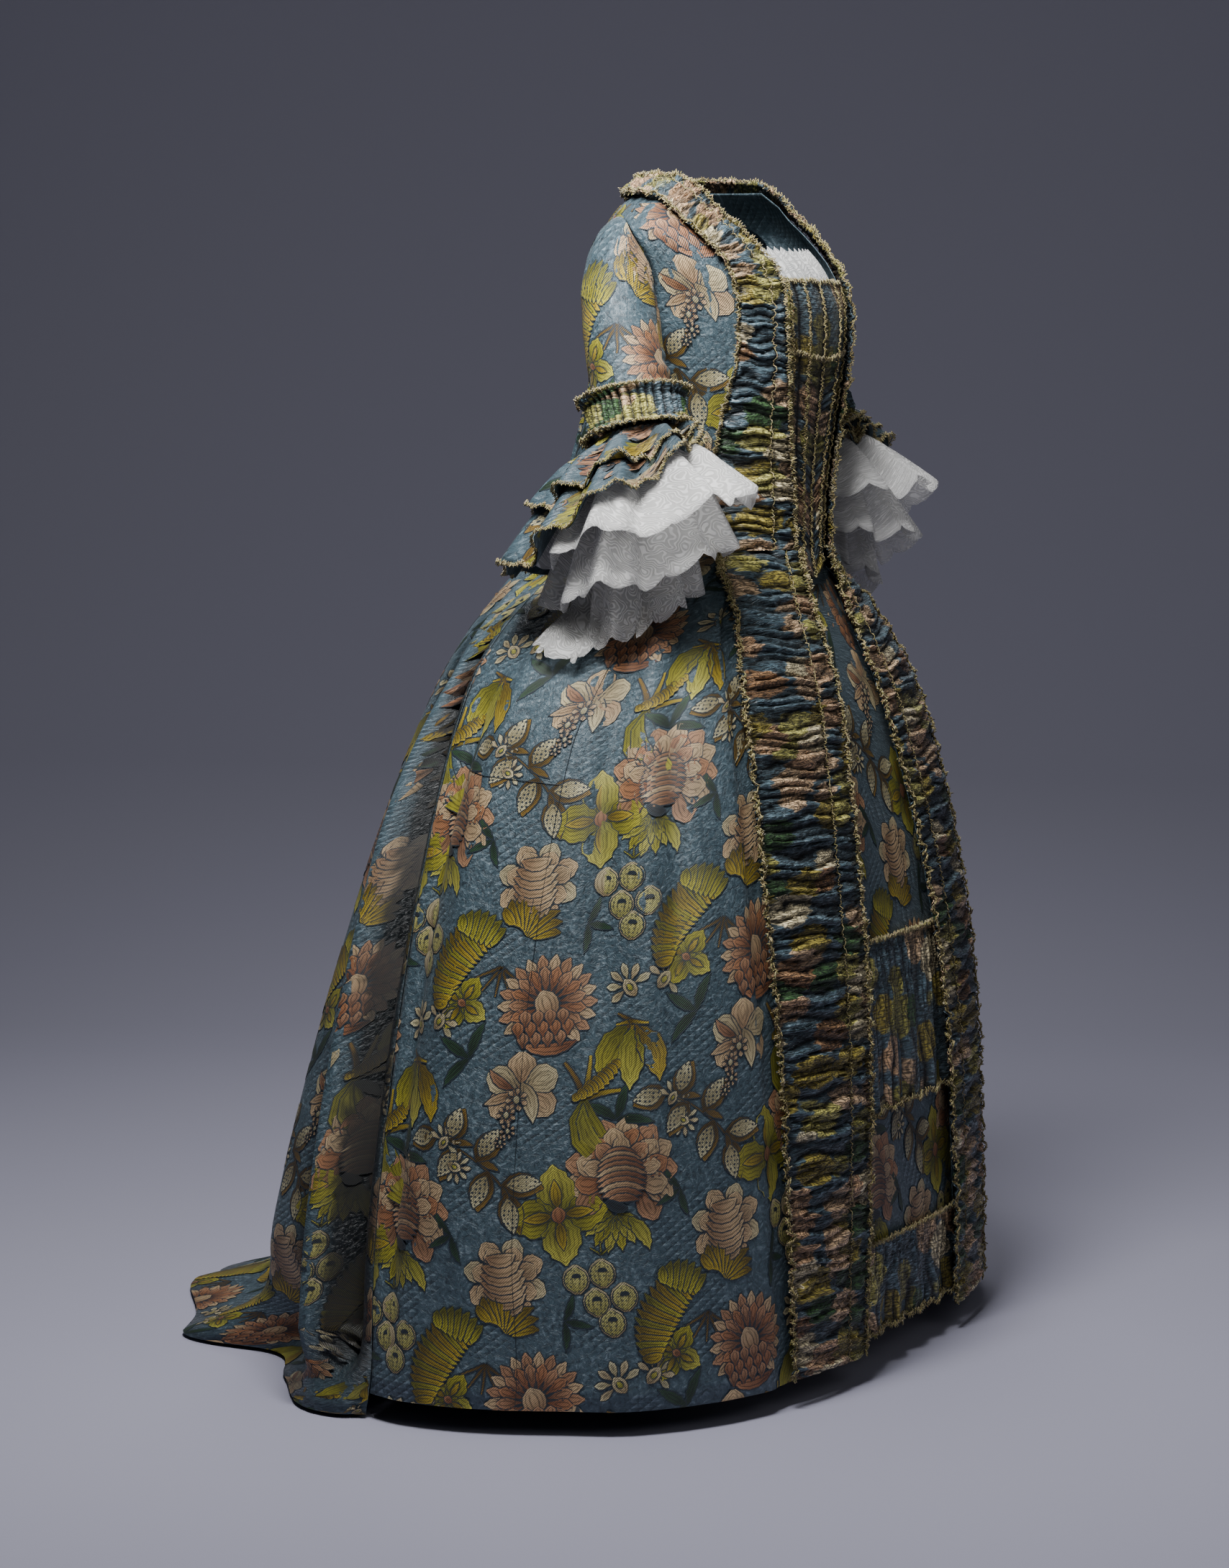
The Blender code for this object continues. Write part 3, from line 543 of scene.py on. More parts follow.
tone = add(tree, "ShaderNodeMix", {
    0: 1.0, 6: thread, 7: shade.outputs[0]}, data_type="RGBA", blend_type="MULTIPLY")
tone = add(tree, "ShaderNodeMix", {
    0: seed.outputs[0], 6: tone.outputs[2], 7: dye("#232c36")}, data_type="RGBA")
tone = add(tree, "ShaderNodeMix", {
    0: inside.outputs[0], 6: dye("#222c35"), 7: tone.outputs[2]}, data_type="RGBA")
bump = add(tree, "ShaderNodeBump", {"Height": twill.outputs[0], "Distance": 0.0003, "Strength": 0.6})
tree.links.new(painted_fold_shade(tree, tone.outputs[2]), shader.inputs["Base Color"])
tree.links.new(bump.outputs[0], shader.inputs["Normal"])
shader.inputs["Roughness"].default_value = 0.55
shader.inputs["Sheen Weight"].default_value = 0.04
print("finishes so far:", figured_silk.name, brocaded.name)

# %% [markdown]
# ## The designer's chart
# A brocade begins as a drawing on squared paper, one repeat of it, and the loom copies that repeat across
# the width and along the length. The same order works here. The flowers are drawn once on a flat chart,
# in metres, and the chart is then laid on each cloth. Every petal, leaf and pod starts as a small grid
# that narrows and bends. Drawing them as geometry keeps their edges crisp, and costs less to render than
# a hundred shapes worked out in one node tree.

# %% One petal, leaf or pod
def outline_of(kind, along):
    """Half the width of a shape along its length, as a share of its widest."""
    tip = np.sqrt(np.clip(1 - ((along - 0.62) / 0.38) ** 2, 0, 1))
    root = 0.28 + 0.72 * ease(0.0, 0.62, along)
    bud = np.where(along > 0.62, tip, root)
    leaf = curved(np.sin(np.pi * np.clip(along, 0, 1) ** 0.85), 0.75)
    return {
        "petal": bud,
        "leaf": leaf,
        "lobed": leaf * (0.66 + 0.34 * np.abs(np.sin(4.5 * np.pi * along))),
        "disc": np.sqrt(np.clip(1 - (2 * along - 1) ** 2, 0, 1)),
        "stem": 0.6 + 0.4 * (1 - along),
    }[kind]


ROWS = {"petal": 5, "leaf": 5, "lobed": 10, "disc": 5, "stem": 5}     # squares along each shape
STRAIGHT = 1               # degrees: a shape that bends less is drawn straight
NARROW = 2.8               # millimetres that even a thin shape counts from its edge to its middle


def stroke(chart, kind, root, turn, length, width, dyes, layer, bend=0.0, spotted=0.0):
    """Adds one shape to the chart, growing from its root. Turn 0 points up the cloth."""
    made = bmesh.ops.create_grid(chart, x_segments=2, y_segments=ROWS[kind], size=0.5)["verts"]
    thread = chart.verts.layers.float_color["thread"]
    petal = chart.verts.layers.float_vector["petal"]
    place = chart.verts.layers.float_vector["place"]
    low, high = (np.array(dye(colour)) for colour in dyes)
    for vert in made:
        side, along = 2 * vert.co.x, vert.co.y + 0.5
        half = width / 2 * float(outline_of(kind, np.float64(min(max(along, 0.02), 0.985))))
        bent = math.radians(bend) * along
        spine, drift = length * along, 0.0
        if abs(bend) >= STRAIGHT:
            spine = length * math.sin(bent) / math.radians(bend)
            drift = length * (1 - math.cos(bent)) / math.radians(bend)
        right, up = drift + side * half * math.cos(bent), spine - side * half * math.sin(bent)
        heading = math.radians(turn)
        vert.co.x = root[0] + right * math.cos(heading) + up * math.sin(heading)
        vert.co.y = root[1] - up * math.cos(heading) + right * math.sin(heading)
        vert.co.z = layer
        vert[thread] = low + (high - low) * along ** 1.3
        vert[petal] = (side, max(1000, NARROW / (width / 2)) * half * (1 - abs(side)), spotted)
        vert[place] = (vert.co.x, vert.co.y, 0)


def step(root, turn, distance):
    heading = math.radians(turn)
    return root[0] + distance * math.sin(heading), root[1] - distance * math.cos(heading)


def fan(chart, kind, root, size, turn, spread, count, start, reach, width, dyes, layer, bend=0.0, taper=0.0):
    """Shapes set round part of a circle, spread degrees wide. start, reach and width are shares of size."""
    start, reach, width = start * size, reach * size, width * size
    for place in range(count):
        share = 2 * place / max(count - 1, 1) - 1
        heading = turn + spread / 2 * share
        stroke(chart, kind, step(root, heading, start), heading, (reach - start) * (1 - taper * abs(share)),
               width, dyes[place % len(dyes)], layer, bend=bend * share)


def arcs(chart, root, turn, wide, tall, count, dyes, layer, bow=50):
    """Overlapping crescents, one under the next, like the heart of a full-blown flower."""
    for fold in range(count):
        share = fold / (count - 1)
        chord = wide * math.sqrt(1 - (1.5 * share - 0.75) ** 2)
        middle = step(root, turn, tall * (0.5 - share))
        end = step(middle, turn - 90, chord / 2)
        stroke(chart, "disc", end, turn + 90 - bow / 2, chord, 2.3 * tall / count, dyes[fold % len(dyes)],
               layer + 0.5 * fold, bend=bow)


# %% The flowers of this silk
SALMON, CORAL = ("#683f28", "#c0926c"), ("#724429", "#b88158")
ROSE_CREAM, CREAM, PALE = ("#8a694c", "#d2b68c"), ("#8f7d5c", "#d2c49a"), ("#948860", "#d6cea6")
GOLD, GREEN_GOLD, LIME = ("#5e4e0e", "#c4aa2c"), ("#5c5c14", "#b8b030"), ("#6e6e1c", "#ccc452")
OCHRE, DARK_GREEN, INK = ("#46350f", "#856826"), ("#16291b", "#305035"), ("#222c35", "#222c35")


def peony(chart, root, size, turn):
    low = step(root, turn + 180, 0.33 * size)
    fan(chart, "lobed", low, size, turn + 180, 150, 7, 0.02, 0.36, 0.155, (GREEN_GOLD, LIME), 0, bend=-25,
        taper=0.15)
    stroke(chart, "lobed", step(low, turn - 100, 0.12 * size), turn - 118, 0.36 * size, 0.16 * size, LIME,
           1, bend=-40)
    fan(chart, "petal", root, size, turn + 5, 256, 11, 0.13, 0.50, 0.24, (SALMON, ROSE_CREAM), 1, bend=30)
    fan(chart, "petal", root, size, turn + 9, 218, 8, 0.12, 0.41, 0.22, (ROSE_CREAM, CORAL), 2, bend=-25)
    fan(chart, "petal", root, size, turn + 12, 140, 5, 0.10, 0.34, 0.17, (ROSE_CREAM, SALMON), 2.5, bend=25)
    heart = step(root, turn + 165, 0.03 * size)
    arcs(chart, heart, turn + 14, 0.45 * size, 0.40 * size, 10, (SALMON, ROSE_CREAM, SALMON), 3)
    stroke(chart, "disc", step(heart, turn + 205, 0.27 * size), turn + 104, 0.21 * size, 0.10 * size, INK,
           8, bend=-50)


def aster(chart, root, size, turn):
    fan(chart, "petal", root, size, turn - 10, 262, 17, 0.13, 0.47, 0.135, (ROSE_CREAM, SALMON), 1)
    fan(chart, "petal", root, size, turn - 6, 230, 12, 0.12, 0.36, 0.13, (SALMON, CORAL), 2)
    stroke(chart, "disc", step(root, turn + 200, 0.13 * size), turn + 20, 0.27 * size, 0.24 * size,
           ROSE_CREAM, 3)
    for row, count in enumerate((4, 5, 4)):
        middle = step(root, turn + 172, (0.20 + 0.10 * row) * size)
        for scale in range(count):
            base = step(middle, turn + 90, (scale - (count - 1) / 2) * 0.115 * size)
            stroke(chart, "petal", base, turn, 0.15 * size, 0.135 * size, CORAL if row % 2 else SALMON,
                   5 - row)
    stroke(chart, "disc", step(step(root, turn + 180, 0.36 * size), turn - 90, 0.27 * size), turn + 118,
           0.52 * size, 0.13 * size, CORAL, 1, bend=-56)


def trailing_rose(chart, root, size, turn):
    fan(chart, "petal", root, size, turn + 10, 230, 5, 0.02, 0.46, 0.38, (ROSE_CREAM, CREAM), 1, bend=35)
    stroke(chart, "leaf", step(root, turn + 10, 0.10 * size), turn - 140, 0.52 * size, 0.22 * size, CREAM,
           2, bend=-30)
    fan(chart, "leaf", root, size, turn + 118, 66, 3, 0.10, 0.50, 0.14, (SALMON, ROSE_CREAM), 2, bend=50)
    spot = step(root, turn + 160, 0.12 * size)
    for ring, width in enumerate((0.25, 0.22, 0.18, 0.14)):
        rosette = width * size
        fan(chart, "petal", spot, rosette, turn, 309, 7, 0.18, 0.55, 0.34, (ROSE_CREAM,), 4 + ring)
        stroke(chart, "disc", step(spot, 180, 0.2 * rosette), 0, 0.4 * rosette, 0.4 * rosette, PALE,
               5 + ring)
        spot = step(spot, turn + (195 if ring % 2 else 155), 0.86 * rosette)


def rose(chart, root, size, turn):
    fan(chart, "petal", root, size, turn, 308, 8, 0.14, 0.52, 0.30, (ROSE_CREAM, CREAM), 1, bend=30)
    fan(chart, "petal", root, size, turn + 20, 300, 7, 0.12, 0.42, 0.27, (ROSE_CREAM,), 1.5, bend=-30)
    arcs(chart, root, turn + 180, 0.60 * size, 0.60 * size, 7, (ROSE_CREAM,), 2, bow=80)


PLATE_GAP, PLATE_WIDTH, PLATE_BEND = 0.0075, 0.0145, 52        # of the ribs across a scrolling leaf


def scroll(chart, root, turn, length, width, curl, dyes, layer):
    """A fat scrolling leaf, ribbed across like a caterpillar."""
    plates = round(length / PLATE_GAP)
    spot, heading = root, turn
    for plate in range(plates):
        share = (plate + 0.5) / plates
        wide = width * math.sin(math.pi * (0.12 + 0.82 * share)) ** 0.6
        base = step(spot, heading - 90, wide / 2)
        stroke(chart, "disc", base, heading + 90 - PLATE_BEND / 2, wide, PLATE_WIDTH,
               dyes[plate % len(dyes)], layer + 0.3 * plate, bend=PLATE_BEND)
        spot = step(spot, heading, length / plates)
        heading += curl / plates


def scrolled_leaf(chart, root, size, turn):
    scroll(chart, step(root, turn - 80, 0.42 * size), turn + 20, 0.50 * size, 0.38 * size, 130, (GOLD,), 1)
    scroll(chart, root, turn + 62, 0.42 * size, 0.30 * size, 46, (GREEN_GOLD,), 4)
    scroll(chart, step(root, turn + 60, 0.10 * size), turn + 122, 0.86 * size, 0.42 * size, 75,
           (GREEN_GOLD, GOLD, GOLD), 2)
    fan(chart, "stem", step(root, turn + 200, 0.26 * size), size, turn + 180, 120, 5, 0.0, 0.26, 0.05,
        (OCHRE,), 0)


def hanging_leaf(chart, root, size, turn):
    fan(chart, "stem", root, size, turn + 180, 200, 6, 0.0, 0.17, 0.07, (OCHRE, GOLD), 1)
    fan(chart, "lobed", root, size, turn + 196, 88, 3, 0.08, 0.70, 0.33, (GREEN_GOLD, LIME, GOLD), 2,
        bend=-40)
    scroll(chart, step(root, turn + 178, 0.45 * size), turn + 158, 0.58 * size, 0.17 * size, -30, (GOLD,),
           3)


def crescent_leaf(chart, root, size, turn):
    stroke(chart, "leaf", root, turn, size, 0.40 * size, GREEN_GOLD, 1, bend=105)
    stroke(chart, "leaf", step(root, turn, 0.06 * size), turn + 4, 0.88 * size, 0.20 * size, LIME, 2,
           bend=100)
    fan(chart, "stem", root, size, turn + 170, 90, 4, 0.0, 0.45, 0.09, (GOLD, OCHRE), 0, bend=20)


def pods(chart, root, size, turn):
    stroke(chart, "stem", root, turn, 0.95 * size, 0.035 * size, OCHRE, 0, bend=38)
    leans = ((0.02, 150), (0.10, -118), (0.28, 118), (0.42, -66), (0.60, 98), (0.72, -48), (0.86, 62))
    for pod, (along, lean) in enumerate(leans):
        base = step(root, turn + 19 * along, along * size)
        length = (0.40 - 0.012 * pod) * size
        stroke(chart, "leaf", base, turn + lean, length, 0.25 * size, OCHRE, 1,
               bend=24 if lean > 0 else -24)
        stroke(chart, "leaf", step(base, turn + lean, 0.05 * size), turn + lean, length * 0.82,
               0.175 * size, PALE, 2, bend=10 if lean > 0 else -10, spotted=1.0)
        if pod % 2:
            stroke(chart, "leaf", base, turn + lean - 70, 0.24 * size, 0.08 * size, OCHRE, 1, bend=-30)


def fruits(chart, root, size, turn):
    for right, up in ((0.02, 0.28), (0.42, 0.22), (-0.26, -0.10), (0.16, -0.14), (-0.02, -0.46)):
        fruit = step(step(root, turn + 90, right * size), turn, (up - 0.2) * size)
        stroke(chart, "disc", step(fruit, turn + 180, 0.03 * size), turn, 0.44 * size, 0.44 * size, CREAM,
               1)
        stroke(chart, "disc", fruit, turn, 0.37 * size, 0.38 * size, ("#95904e", "#c6c07c"), 2, spotted=0.7)
        stroke(chart, "disc", step(fruit, turn - 20, 0.24 * size), turn + 60, 0.15 * size, 0.07 * size, INK,
               3, bend=60)
    fan(chart, "stem", step(root, turn, 0.55 * size), size, turn, 110, 3, 0.0, 0.2, 0.06, (GREEN_GOLD,), 0)


def blossoms(chart, root, size, turn):
    for aside, lean, scale in ((0.34, 28, 1.0), (-0.30, -52, 0.9)):
        middle = step(root, turn + 90, aside * size)
        fan(chart, "petal", middle, size, turn + lean, 190, 6, 0.10 * scale, 0.42 * scale, 0.17 * scale,
            (PALE, CREAM), 1)
        for low, tall, wide, colour, layer in ((0.20, 0.34, 0.28, CREAM, 2), (0.10, 0.15, 0.13, LIME, 3)):
            base = step(middle, turn + lean + 180, low * size)
            stroke(chart, "disc", base, turn + lean, tall * size, wide * size, colour, layer)


def sprig(chart, root, size, turn):
    fan(chart, "lobed", root, size, turn, 130, 3, 0.0, 0.80, 0.26, (DARK_GREEN,), 1, bend=30)


def gold_flower(chart, root, size, turn):
    fan(chart, "lobed", root, size, turn + 45, 270, 4, 0.02, 0.50, 0.46, (GREEN_GOLD, LIME), 1)
    fan(chart, "leaf", root, size, turn + 45, 270, 4, 0.06, 0.36, 0.13, (GOLD,), 2)
    stroke(chart, "disc", step(root, turn + 180, 0.08 * size), turn, 0.16 * size, 0.16 * size, CORAL, 3)


# %% One repeat of the silk
REPEAT_WIDTH, REPEAT_LENGTH, DROP = 0.262, 0.450, 0.055        # two repeats fill the loom's width
REPEAT = (                 # flower, metres right and down, size in metres, degrees of turn
    (peony, 0.212, 0.020, 0.132, -8),
    (rose, 0.080, 0.086, 0.092, 8),
    (scrolled_leaf, 0.116, 0.150, 0.132, -6),
    (fruits, 0.228, 0.152, 0.076, 6),
    (aster, 0.050, 0.224, 0.122, 6),
    (trailing_rose, 0.070, 0.322, 0.096, -6),
    (blossoms, 0.196, 0.252, 0.066, 12),
    (hanging_leaf, 0.212, 0.296, 0.112, -14),
    (pods, 0.078, 0.440, 0.126, 38),
    (crescent_leaf, -0.002, 0.330, 0.108, 168),
    (gold_flower, 0.020, 0.012, 0.116, 10),
    (sprig, 0.134, 0.288, 0.058, 60),
    (blossoms, 0.148, 0.398, 0.050, -60),
    (gold_flower, 0.150, 0.226, 0.070, 60),
    (sprig, 0.222, 0.408, 0.056, -12),
    (sprig, 0.142, 0.038, 0.044, 120),
    (sprig, 0.016, 0.132, 0.044, -100),
)
chart = bmesh.new()
chart.verts.layers.float_color.new("thread")
chart.verts.layers.float_vector.new("petal")
chart.verts.layers.float_vector.new("place")
for flower, right, down, size, turn in REPEAT:
    flower(chart, (right, down), size, turn)
repeat_mesh = bpy.data.meshes.new("one_repeat")
chart.to_mesh(repeat_mesh)
chart.free()
print("faces in one repeat:", len(repeat_mesh.polygons))

# %% [markdown]
# ## Laying the chart on a cloth
# The loom fills the cloth edge to edge, and the tailor's shears cut through the flowers. So the repeat is
# set out over the whole cloth, each column a little lower than the last, the flowers that miss the cloth
# are dropped, and what is left is bent onto it. Points beyond an edge stop at that edge, which is where a
# seam would swallow them.

# %% Brocade for one cloth
LAYER_STEP, FIRST_LAYER = 0.00014, 0.00045     # metres between two layers of petals, and under the first
TINY_EDGE = 0.00002        # metres: what is shorter was cut off at an edge of the cloth


def brocade(name, shift=(0.0, 0.0), only=None, wearer=None, longest=None):
    """Lays the flowers on a cloth. only(spots) may leave out what is cut away or never seen, wearer is the
    piece that carries them, where the cloth is only a guide, and a deeply folded cloth needs its petals
    cut up until no edge is longer than longest."""
    cloth = CLOTHS[name]
    first, last = cloth["across"].min(), cloth["across"].max()
    woven = bmesh.new()
    woven.from_mesh(repeat_mesh)
    one = list(woven.verts) + list(woven.edges) + list(woven.faces)
    left, right = ((end - shift[0]) / REPEAT_WIDTH for end in (first, last))
    columns = range(math.floor(left) - 1, math.ceil(right) + 1)
    rows = range(-2, math.ceil(cloth["down"][-1] / REPEAT_LENGTH) + 1)
    for column in columns:
        for row in rows:
            more = bmesh.ops.duplicate(woven, geom=one)["geom"]
            drop = row * REPEAT_LENGTH + column * DROP % REPEAT_LENGTH + shift[1]
            fresh = [part for part in more if isinstance(part, bmesh.types.BMVert)]
            bmesh.ops.translate(woven, vec=(column * REPEAT_WIDTH + shift[0], drop, 0), verts=fresh)
            spots = np.array([v.co[:] for v in fresh])
            missed = off_cloth(name, spots[:, 0], spots[:, 1])
            if only:
                missed |= ~only(on_cloth(name, spots[:, 0], spots[:, 1], np.zeros(len(spots))))
            gone = {v for v, miss in zip(fresh, missed) if miss}
            faces = [part for part in more if isinstance(part, bmesh.types.BMFace)]
            faces = [face for face in faces if all(vert in gone for vert in face.verts)]
            bmesh.ops.delete(woven, geom=faces, context="FACES")
    pattern = [part for part in one if isinstance(part, bmesh.types.BMVert)]
    bmesh.ops.delete(woven, geom=pattern, context="VERTS")
    long_edges = [e for e in woven.edges if longest and e.calc_length() > longest]
    while long_edges:
        bmesh.ops.subdivide_edges(woven, edges=long_edges, cuts=1, use_grid_fill=True)
        long_edges = [e for e in woven.edges if e.calc_length() > longest]
    places = np.array([v.co[:] for v in woven.verts])
    spots = on_cloth(name, places[:, 0], places[:, 1], FIRST_LAYER + LAYER_STEP * places[:, 2])
    for vert, spot in zip(woven.verts, spots):
        vert.co = spot
    wearer = wearer or name
    mesh = bpy.data.meshes.new(wearer + "_flowers")
    # The flowers take the depth of the folds under them, for the painted shade deep in the folds.
    if "hollow" in cloth:
        depth = woven.verts.layers.float.new("hollow")
        for vert, value in zip(woven.verts, hollow_at(name, places[:, 0], places[:, 1])):
            vert[depth] = value
    bmesh.ops.dissolve_degenerate(woven, dist=TINY_EDGE, edges=woven.edges)
    bmesh.ops.reverse_faces(woven, faces=woven.faces)
    woven.to_mesh(mesh)
    woven.free()
    mesh.materials.append(brocaded)
    mesh.shade_smooth()
    put_on(wearer + "_flowers", mesh, wearer)
    print(wearer, "flowers:", len(mesh.polygons), "faces")


def guide(name, count, shape, pin=0.0, surface=0.0):
    """Measures a plain guide for the flowers of a cloth whose own grid would wind them round."""
    share = np.linspace(0, 1, count + 1)
    measure(name, shape(*np.meshgrid(share, share, indexing="ij")), pin, surface)

# %% [markdown]
# ## The skirt panels
# Each side of the gown's skirt is one width of silk and part of another, pleated to the waist over the
# hoop and left open in front. The panel runs under its ruched border, rises beside it, and meets the
# sack at the side. Its folds are few and soft, because hoops stretch it. They run down from the waist,
# so they are made from the angle round the body and fade with height, and a few long creases are
# listed one by one.

# %% Skirt panel, right
SKIRT_ROBING = table(
    "height  inner  outer",
    (0.030, 0.145, 0.298),
    (0.180, 0.138, 0.302),
    (0.370, 0.125, 0.305),
    (0.550, 0.108, 0.300),
    (0.670, 0.090, 0.285),
    (0.790, 0.066, 0.262),
    (0.860, 0.054, 0.230),
    (0.935, 0.046, 0.172),
    (0.984, 0.044, 0.118),
)
HEM, PANEL_FOLD, UNDER_ROBING, FRONT_HIDDEN, FOLD_START = 0.030, 0.009, 0.004, 0.032, 0.012
SKIRT_TOP, SACK_TOP = WAIST - 0.0025, 1.424
SOFT_FOLD, WAIST_PLEAT, TUCK = 0.008, 0.004, 0.0025       # how far each stands out
LONG_CREASES = table(
    "angle_top  angle_hem  top    bottom  depth   width",
    (57.0, 46.0, 0.95, 0.45, -0.0075, 3.0),
    (66.0, 52.0, 0.96, 0.20, 0.0080, 3.6),
    (74.0, 63.0, 0.95, 0.40, -0.0080, 2.8),
    (97.0, 84.0, 0.93, 0.10, 0.0070, 3.6),
    (108.0, 95.0, 0.86, 0.03, -0.0120, 3.0),
)


def seam_turn(height, width=VISIBLE_SEAM):
    """The angle of the sack's side seam, and of the edge of the panel that meets it."""
    row = read(SACK, "height", height)
    return row["seam"], row["seam"] - np.degrees(width / row["side"])


def skirt_folds(angle, height):
    """How far the soft folds stand out: shallow at the sides, deeper towards the back."""
    edge = angle_at(read(SKIRT_ROBING, "height", height)["outer"] + FOLD_START, height)
    sunk = UNDER_ROBING * ease(edge, edge - 3.0, angle)
    front_fold = PANEL_FOLD * ease(edge, edge + 3.0, angle) * ease(0.985, 0.90, height) - sunk
    soft = SOFT_FOLD * sine(angle * 9.0 + 40 * height) * ease(50, 70, angle)
    pleats = WAIST_PLEAT * sine(angle * 24.0) * ease(0.80, 0.93, height)
    return front_fold + soft * ease(0.97, 0.80, height) + pleats * ease(0.985, 0.96, height)


def hand_creases(angle, height):
    """The long creases of the table, each fading at both ends."""
    total = np.zeros_like(angle)
    for n in range(len(LONG_CREASES["angle_top"])):
        crease = {name: column[n] for name, column in LONG_CREASES.items()}
        line = mix(crease["angle_hem"], crease["angle_top"], np.clip((height - HEM) / 0.9, 0, 1))
        fade = ease(crease["bottom"], crease["bottom"] + 0.15, height)
        fade *= ease(crease["top"], crease["top"] - 0.08, height)
        total += crease["depth"] * np.exp(-((angle - line) / crease["width"]) ** 2) * fade
    return total


def skirt_height(down, top, hem):
    return mix(top, hem, down ** 1.6)


def skirt_panel(across, down):
    height = skirt_height(down, SKIRT_TOP, HEM)
    front = angle_at(read(SKIRT_ROBING, "height", height)["inner"] + FRONT_HIDDEN, height)
    back = seam_turn(height)[1]
    angle = mix(front, back, across)
    edge = ease(0.0, 0.12, across) * ease(1.0, 0.94, across)
    folds = skirt_folds(angle, height) + hand_creases(angle, height) * edge
    folds += TUCK * sine(angle * 48.0) * ease(0.86, 0.95, height) * ease(0.985, 0.975, height) * edge
    return moved_out(body_form, angle, height, folds, level=True)


sew("skirt_panel_right", 96, 64, skirt_panel, figured_silk, pin=1.0)
brocade("skirt_panel_right", shift=(-0.262, -0.06))

# %% [markdown]
# ## The sack back
# The sack is what names this gown. Two double box pleats are stitched flat at the neck, hang loose past
# the waist and open into a train. A pleat is three layers of one cloth, but only the top one shows, so
# the sheet steps up where a pleat begins and down where it ends. Below the waist those steps turn into
# rounded folds that grow towards the floor.

# %% Sack back
PLEAT_DEPTH, TRAIN_HEM = 0.013, 0.005
SHADE_STARTS, SHADE_DEEPENS = 0.003, 0.020     # metres into a fold where its dark begins, and to its full


def box_pleats(share):
    """Height of the pleats across the sack: share is 0 at the centre back and 1 at a side seam."""
    first = ease(0.015, 0.035, share) * (1 - ease(0.41, 0.44, share))
    second = 0.55 * ease(0.41, 0.44, share) * (1 - ease(0.745, 0.775, share))
    return first + second


def train_folds(share, height):
    """Below the waist the pleats open into rounded folds that deepen to the hem."""
    depth = mix(0.014, 0.030, ease(0.85, 0.15, height))
    drawn_in = 0.065 * ease(0.16, 0.03, height) * ease(0.15, 0.0, np.abs(share - 0.60))
    spread_out = mix(0.35, 1.0, ease(0.25, 0.60, share)) * ease(1.0, 0.97, share)
    return depth * spread_out * cosine(share * 900 - 99) - drawn_in


DEEP_FOLDS = (             # share across the sack, height (a trough's is negative), width as a share
    (0.932, -0.066, 0.036),
    (0.856, 0.028, 0.026),
    (0.792, -0.060, 0.032),
    (0.722, 0.024, 0.030),
    (0.645, -0.044, 0.030),
)


def deep_folds(share, widened=1.0):
    return sum(
        height * np.exp(-((share - middle) / (widened * width)) ** 2) for middle, height, width in DEEP_FOLDS)


def small_folds(share, height):
    """Folds too fine for the solid: creases all over, and the deep folds beside each side seam."""
    fine = 0.0038 * sine(share * 2300 + 60 * sine(share * 700 + height * 90) + 30 * height)
    faded = ease(0.97, 0.62, height)
    return (fine + deep_folds(share)) * faded * ease(0.02, 0.10, height) * ease(1.0, 0.975, share)


def sack(across, down):
    swing = 2 * across - 1
    share = np.abs(swing)
    height = mix(SACK_TOP, TRAIN_HEM, down)
    seam = seam_turn(height)[0]
    angle = 180 + swing * (180 - seam)
    pleated = PLEAT_DEPTH * box_pleats(share) * mix(0.5, 1.0, ease(1.404, 1.33, height))
    pleated = pleated * ease(SACK_TOP, 1.402, height)
    standing = mix(pleated, train_folds(share, height), ease(1.00, 0.70, height)) + small_folds(share, height)
    standing += np.where(height < WAIST, skirt_folds(seam, height) * ease(0.8, 1.0, share), 0)
    return moved_out(back_form, angle, height, standing + WALL, level=True)


# How deep in a fold the sack lies, which its finishes read to paint shade in the folds.
def sack_hollow(across, down):
    """0 on the crest of a fold and 1 deep in one."""
    share, height = np.abs(2 * across - 1), mix(SACK_TOP, TRAIN_HEM, down)
    depth = np.clip((-deep_folds(share, 1.5) - SHADE_STARTS) / SHADE_DEEPENS, 0, 1)
    return depth * ease(0.97, 0.80, height) * ease(0.0, 0.08, height)


sew("sack_back_silk", 216, 80, sack, figured_silk, pin=0.5, grow=-1, hollow=sack_hollow)
brocade("sack_back_silk", shift=(0.03, 0.10), longest=0.025)

# %% Seams between two widths of silk
# A near-black cord along the line where two widths meet, the painted shade of the seam, so that it shows as a
# fine dark line.
SEAM_LINE_RADIUS, SEAM_LINE_LIFT = 0.0004, 0.0010
WIDTHS_MEET, PIECED_TO = -0.190, -0.020    # metres across the panel, from its side seam
seam_shadow_finish, tree, shader = new_finish("seam_thread")
shader.inputs["Base Color"].default_value = dye("#1d262f")


def new_cord(name, radius, finish):
    """A curve with a thin wall round it, for a thread or a strand of floss."""
    cord = bpy.data.curves.new(name, "CURVE")
    cord.dimensions, cord.bevel_depth, cord.bevel_resolution = "3D", radius, 0
    cord.materials.append(finish)
    return cord


def lay_cord(cord, path):
    spline = cord.splines.new("POLY")
    spline.points.add(len(path) - 1)
    spline.points.foreach_set("co", np.hstack([path, np.ones((len(path), 1))]).ravel())


def seam(name, wearer, across, down):
    """A dark cord along a line on a cloth, given in metres across and down it, as the painted shade of a
    seam.
    """
    thread = new_cord(name, SEAM_LINE_RADIUS, seam_shadow_finish)
    lay_cord(thread, on_cloth(wearer, across, down, np.full(len(across), SEAM_LINE_LIFT)))
    put_on(name, thread, wearer)
    print(name, "has", len(across), "points")


skirt_length = CLOTHS["skirt_panel_right"]["down"][-1]
seam("skirt_panel_right_seam", "skirt_panel_right",
     np.full(80, WIDTHS_MEET), np.linspace(0.12, skirt_length, 80))
seam("skirt_panel_right_piecing", "skirt_panel_right",
     np.linspace(WIDTHS_MEET, PIECED_TO, 20), np.linspace(0.362, 0.350, 20))

